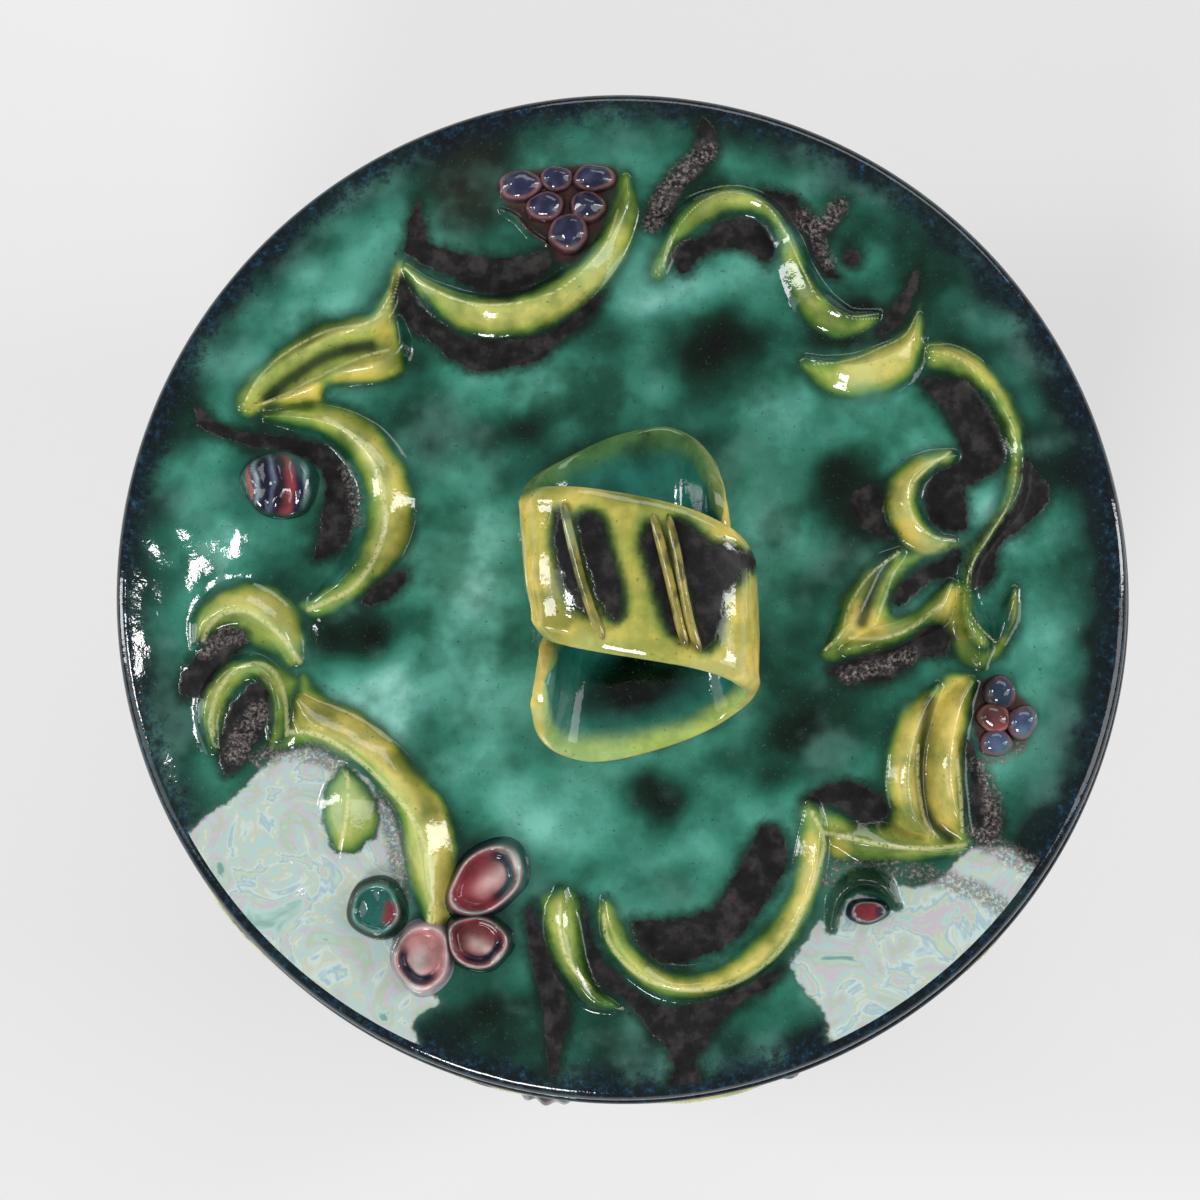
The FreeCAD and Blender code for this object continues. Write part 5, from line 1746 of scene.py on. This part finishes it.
def ramped(tree, value, stops):
    node = tree.nodes.new("ShaderNodeValToRGB")
    put(tree, node.inputs["Fac"], value)
    elements = node.color_ramp.elements
    while len(elements) < len(stops):
        elements.new(0.5)
    for element, (place, colour) in zip(elements, stops):
        element.position = place
        element.color = (*linear(colour), 1)
    return node.outputs["Color"]


def bumped(tree, height, distance):
    node = tree.nodes.new("ShaderNodeBump")
    put(tree, node.inputs["Height"], height)
    node.inputs["Distance"].default_value = distance * MM
    return node.outputs["Normal"]


# Pale iridescent bands of the lustre glaze, in which its pearly sheen is painted
lustre_sheen_bands = (
    (0.26, (112, 146, 140)), (0.33, (168, 190, 184)), (0.38, (162, 182, 158)), (0.42, (182, 174, 182)),
    (0.46, (160, 192, 188)), (0.49, (182, 184, 166)), (0.52, (184, 202, 196)), (0.55, (148, 172, 186)),
    (0.58, (176, 194, 168)), (0.61, (182, 170, 182)), (0.66, (164, 194, 186)), (0.74, (132, 162, 156)),
)
soot_shades = ((0.32, (9, 9, 10)), (0.5, (25, 24, 25)), (0.68, (54, 50, 50)))
ash_shades = ((0.36, (46, 42, 42)), (0.5, (80, 74, 72)), (0.6, (118, 110, 107)), (0.72, (162, 154, 150)))
rim_shades = ((0.35, (4, 9, 12)), (0.5, (9, 20, 30)), (0.6, (18, 44, 62)), (0.72, (40, 86, 100)))
clay_shades = ((0.3, (150, 106, 78)), (0.7, (186, 140, 108)))
mottle_shade = (120, 160, 150)
drift_shade = (96, 140, 122)
drift_light = (128, 196, 180)
speck_colour = (10, 34, 26)
mote_colour = (190, 214, 190)
lustre_border = (60, 84, 74)
black_border = (8, 26, 16)
# Colour of the highlight painted along the creases
crease_highlight_colour = (222, 218, 164)
glaze_roughness = 0.07
dull_roughness = 0.5
clay_roughness = 0.85
floor_roughness = 0.9
glaze_specular = 0.5
dull_specular = 0.16


def ground_glaze(tree, mottle, grain):
    """The piece's tints, mottled, drifted pale and dark, and specked."""
    tint = layer(tree, "tint", "Color")
    drift = cloud(tree, 15.0, 3.0, 0.5, 7.7)
    mote = cloud(tree, 0.55, 2.0, 0.6, 6.3)
    dark = mixed(tree, 1.0, tint, mottle_shade, "MULTIPLY")
    colour = mixed(tree, stepped(tree, mottle, 0.62, 0.38, 0.35), tint, dark)
    dark = mixed(tree, 1.0, colour, drift_shade, "MULTIPLY")
    colour = mixed(tree, stepped(tree, drift, 0.50, 0.68, 0.75), colour, dark)
    pale = mixed(tree, 0.4, colour, drift_light)
    colour = mixed(tree, stepped(tree, drift, 0.50, 0.28, 0.5), colour, pale)
    colour = mixed(tree, stepped(tree, grain, 0.64, 0.72, 0.5), colour, speck_colour)
    pale = mixed(tree, 0.5, colour, mote_colour)
    return mixed(tree, stepped(tree, mote, 0.62, 0.76, 0.12), colour, pale)


def navy_rim(tree, colour):
    """Navy glaze that breaks at the rim."""
    uneven = times(tree, cloud(tree, 2.2, 5.0, 0.75, 3.1), 16.0)
    from_rim = plus(tree, layer(tree, "rim"), maths(tree, "SUBTRACT", uneven, 8.0))
    navy = ramped(tree, cloud(tree, 1.3, 4.0, 0.7, 4.2), rim_shades)
    return mixed(tree, stepped(tree, from_rim, 6.5, 1.5, 0.85), colour, navy)


def pearly_patches(tree, colour, ragged):
    """Lustre patches with a dull border, their pearly sheen painted into the colour as pale iridescent
    bands.
    """
    lustre = plus(tree, layer(tree, "lustre"), ragged)
    sheen_bands = ramped(tree, cloud(tree, 11.0, 4.0, 0.55, 2.0, 1.1), lustre_sheen_bands)
    border = mixed(tree, 0.6, colour, lustre_border)
    colour = mixed(tree, stepped(tree, lustre, -1.6, 0.2), colour, border)
    return mixed(tree, stepped(tree, lustre, -0.3, 0.6), colour, sheen_bands)


def black_patches(tree, colour, black, dull):
    """Dull black patches with a dark green border."""
    soot = ramped(tree, cloud(tree, 4.0, 4.0, 0.65, 1.4), soot_shades)
    border = mixed(tree, 0.75, colour, black_border)
    colour = mixed(tree, stepped(tree, black, -2.4, -0.1), colour, border)
    return mixed(tree, dull, colour, soot)


def ash_film(tree, colour, ragged):
    """Speckled ash over everything else."""
    ash = stepped(tree, plus(tree, layer(tree, "ash"), ragged), -1.0, 0.9)
    speckle = cloud(tree, 0.7, 3.0, 0.7, 5.5)
    film = times(tree, ash, stepped(tree, speckle, 0.36, 0.60, 0.85))
    return mixed(tree, film, colour, ramped(tree, speckle, ash_shades))


def glaze_material(name):
    """Painted glaze with a navy rim, pearly and dull black patches, ash and highlights painted on the
    creases.
    """
    material, tree, shader, output = shader_tree(name)
    mottle = cloud(tree, 5.0, 4.0, 0.6)
    grain = cloud(tree, 0.9, 3.0, 0.6, 0.3)
    fringe = times(tree, cloud(tree, 2.2, 3.0, 0.6, 0.9), 2.2)
    ragged = maths(tree, "SUBTRACT", plus(tree, fringe, times(tree, grain, 0.9)), 1.55)
    black = plus(tree, layer(tree, "black"), ragged)
    dull = stepped(tree, black, -0.35, 0.35)
    colour = navy_rim(tree, ground_glaze(tree, mottle, grain))
    colour = black_patches(tree, pearly_patches(tree, colour, ragged), black, dull)
    colour = ash_film(tree, colour, ragged)
    # A pale highlight painted along the creases, broken by the grain
    crease_highlight = stepped(tree, layer(tree, "line"), 0.72, 0.12, 0.6)
    crease_highlight = times(tree, crease_highlight, stepped(tree, grain, 0.34, 0.50))
    put(tree, shader.inputs["Base Color"], mixed(tree, crease_highlight, colour, crease_highlight_colour))
    put(tree, shader.inputs["Roughness"], mixed_value(tree, dull, glaze_roughness, dull_roughness))
    put(tree, shader.inputs["Specular IOR Level"], mixed_value(tree, dull, glaze_specular, dull_specular))
    crust = times(tree, times(tree, grain, dull), 0.35)
    relief_height = plus(tree, times(tree, mottle, 0.5), crust)
    put(tree, shader.inputs["Normal"], bumped(tree, relief_height, 0.25))
    return material


def clay_material(name):
    """Bare fired clay."""
    material, tree, shader, output = shader_tree(name)
    put(tree, shader.inputs["Base Color"], ramped(tree, cloud(tree, 3.0, 5.0, 0.65), clay_shades))
    shader.inputs["Roughness"].default_value = clay_roughness
    put(tree, shader.inputs["Normal"], bumped(tree, cloud(tree, 0.8, 4.0, 0.7), 0.2))
    return material


materials = {name: glaze_material(name) for name in sorted(set(slots.values()) - {"bare_clay"})}
materials["bare_clay"] = clay_material("bare_clay")
make_lid()
make_jar()
make_pellets()
make_strap()
make_veins()
for name, node in frame["nodes"].items():
    node.data.materials.clear()
    node.data.materials.append(materials[slots[name]])


# Floor, light and camera
floor_colour = (226, 226, 226)
floor_shown_colour = (234, 234, 234)
floor_shown_share = 0.6
floor_size = 6
sky_strength = 0.22
sky_shown_colour = (228, 228, 228)
lit_point = Vector((0, 0, 0.17))


def shown_to_camera(tree, usual, shown, share, output):
    """Mixes in what the camera alone sees of the floor or the sky, so that it stays pale."""
    paths = tree.nodes.new("ShaderNodeLightPath")
    blend = tree.nodes.new("ShaderNodeMixShader")
    put(tree, blend.inputs["Fac"], times(tree, paths.outputs["Is Camera Ray"], share))
    tree.links.new(usual, blend.inputs[1])
    tree.links.new(shown, blend.inputs[2])
    tree.links.new(blend.outputs["Shader"], output.inputs["Surface"])


def make_floor():
    bpy.ops.mesh.primitive_plane_add(size=floor_size, location=(0, 0, 0))
    floor = bpy.context.object
    floor.name = "floor"
    material, tree, shader, output = shader_tree("floor")
    put(tree, shader.inputs["Base Color"], floor_colour)
    shader.inputs["Roughness"].default_value = floor_roughness
    even = tree.nodes.new("ShaderNodeEmission")
    put(tree, even.inputs["Color"], floor_shown_colour)
    shown_to_camera(tree, shader.outputs["BSDF"], even.outputs["Emission"], floor_shown_share, output)
    floor.data.materials.append(material)


def make_sky():
    world = bpy.data.worlds.new("studio")
    bpy.context.scene.world = world
    world.use_nodes = True
    tree = world.node_tree
    dim = tree.nodes["Background"]
    put(tree, dim.inputs["Color"], (255, 255, 255))
    dim.inputs["Strength"].default_value = sky_strength
    pale = tree.nodes.new("ShaderNodeBackground")
    put(tree, pale.inputs["Color"], sky_shown_colour)
    output = tree.nodes["World Output"]
    shown_to_camera(tree, dim.outputs["Background"], pale.outputs["Background"], 1.0, output)


def area_light(name, place, size_x, size_y, power):
    lamp = bpy.data.lights.new(name, "AREA")
    lamp.shape = "RECTANGLE"
    lamp.size = size_x
    lamp.size_y = size_y
    lamp.energy = power
    light = bpy.data.objects.new(name, lamp)
    bpy.context.scene.collection.objects.link(light)
    light.location = place
    light.rotation_euler = (lit_point - Vector(place)).to_track_quat("-Z", "Y").to_euler()


def make_camera():
    camera_data = bpy.data.cameras.new("camera")
    camera_data.sensor_width = sensor_width
    camera_data.lens = lens
    camera_data.clip_start = 0.01
    camera_data.clip_end = 20
    camera = bpy.data.objects.new("camera", camera_data)
    bpy.context.scene.collection.objects.link(camera)
    camera.location = camera_place * MM
    camera.rotation_mode = "QUATERNION"
    camera.rotation_quaternion = (-Vector(camera_back)).to_track_quat("-Z", "Y")
    bpy.context.scene.camera = camera


make_floor()
area_light("front_window", (-0.28, -1.0, 0.92), 0.34, 0.24, 9)
area_light("left_window", (-1.05, 0.05, 0.55), 0.16, 0.6, 4)
area_light("right_window", (1.05, 0.2, 0.6), 0.16, 0.6, 4)
area_light("high_window", (-0.72, 0.02, 1.305), 0.15, 0.12, 2.2)
area_light("back_panel", (0.5, 1.5, 1.1), 1.6, 0.6, 10)
area_light("left_panel", (-1.5, -0.3, 1.2), 0.7, 1.4, 5)
area_light("right_panel", (1.5, -0.2, 1.2), 0.7, 1.4, 11)
make_sky()
make_camera()
bpy.context.scene.view_settings.view_transform = "Standard"
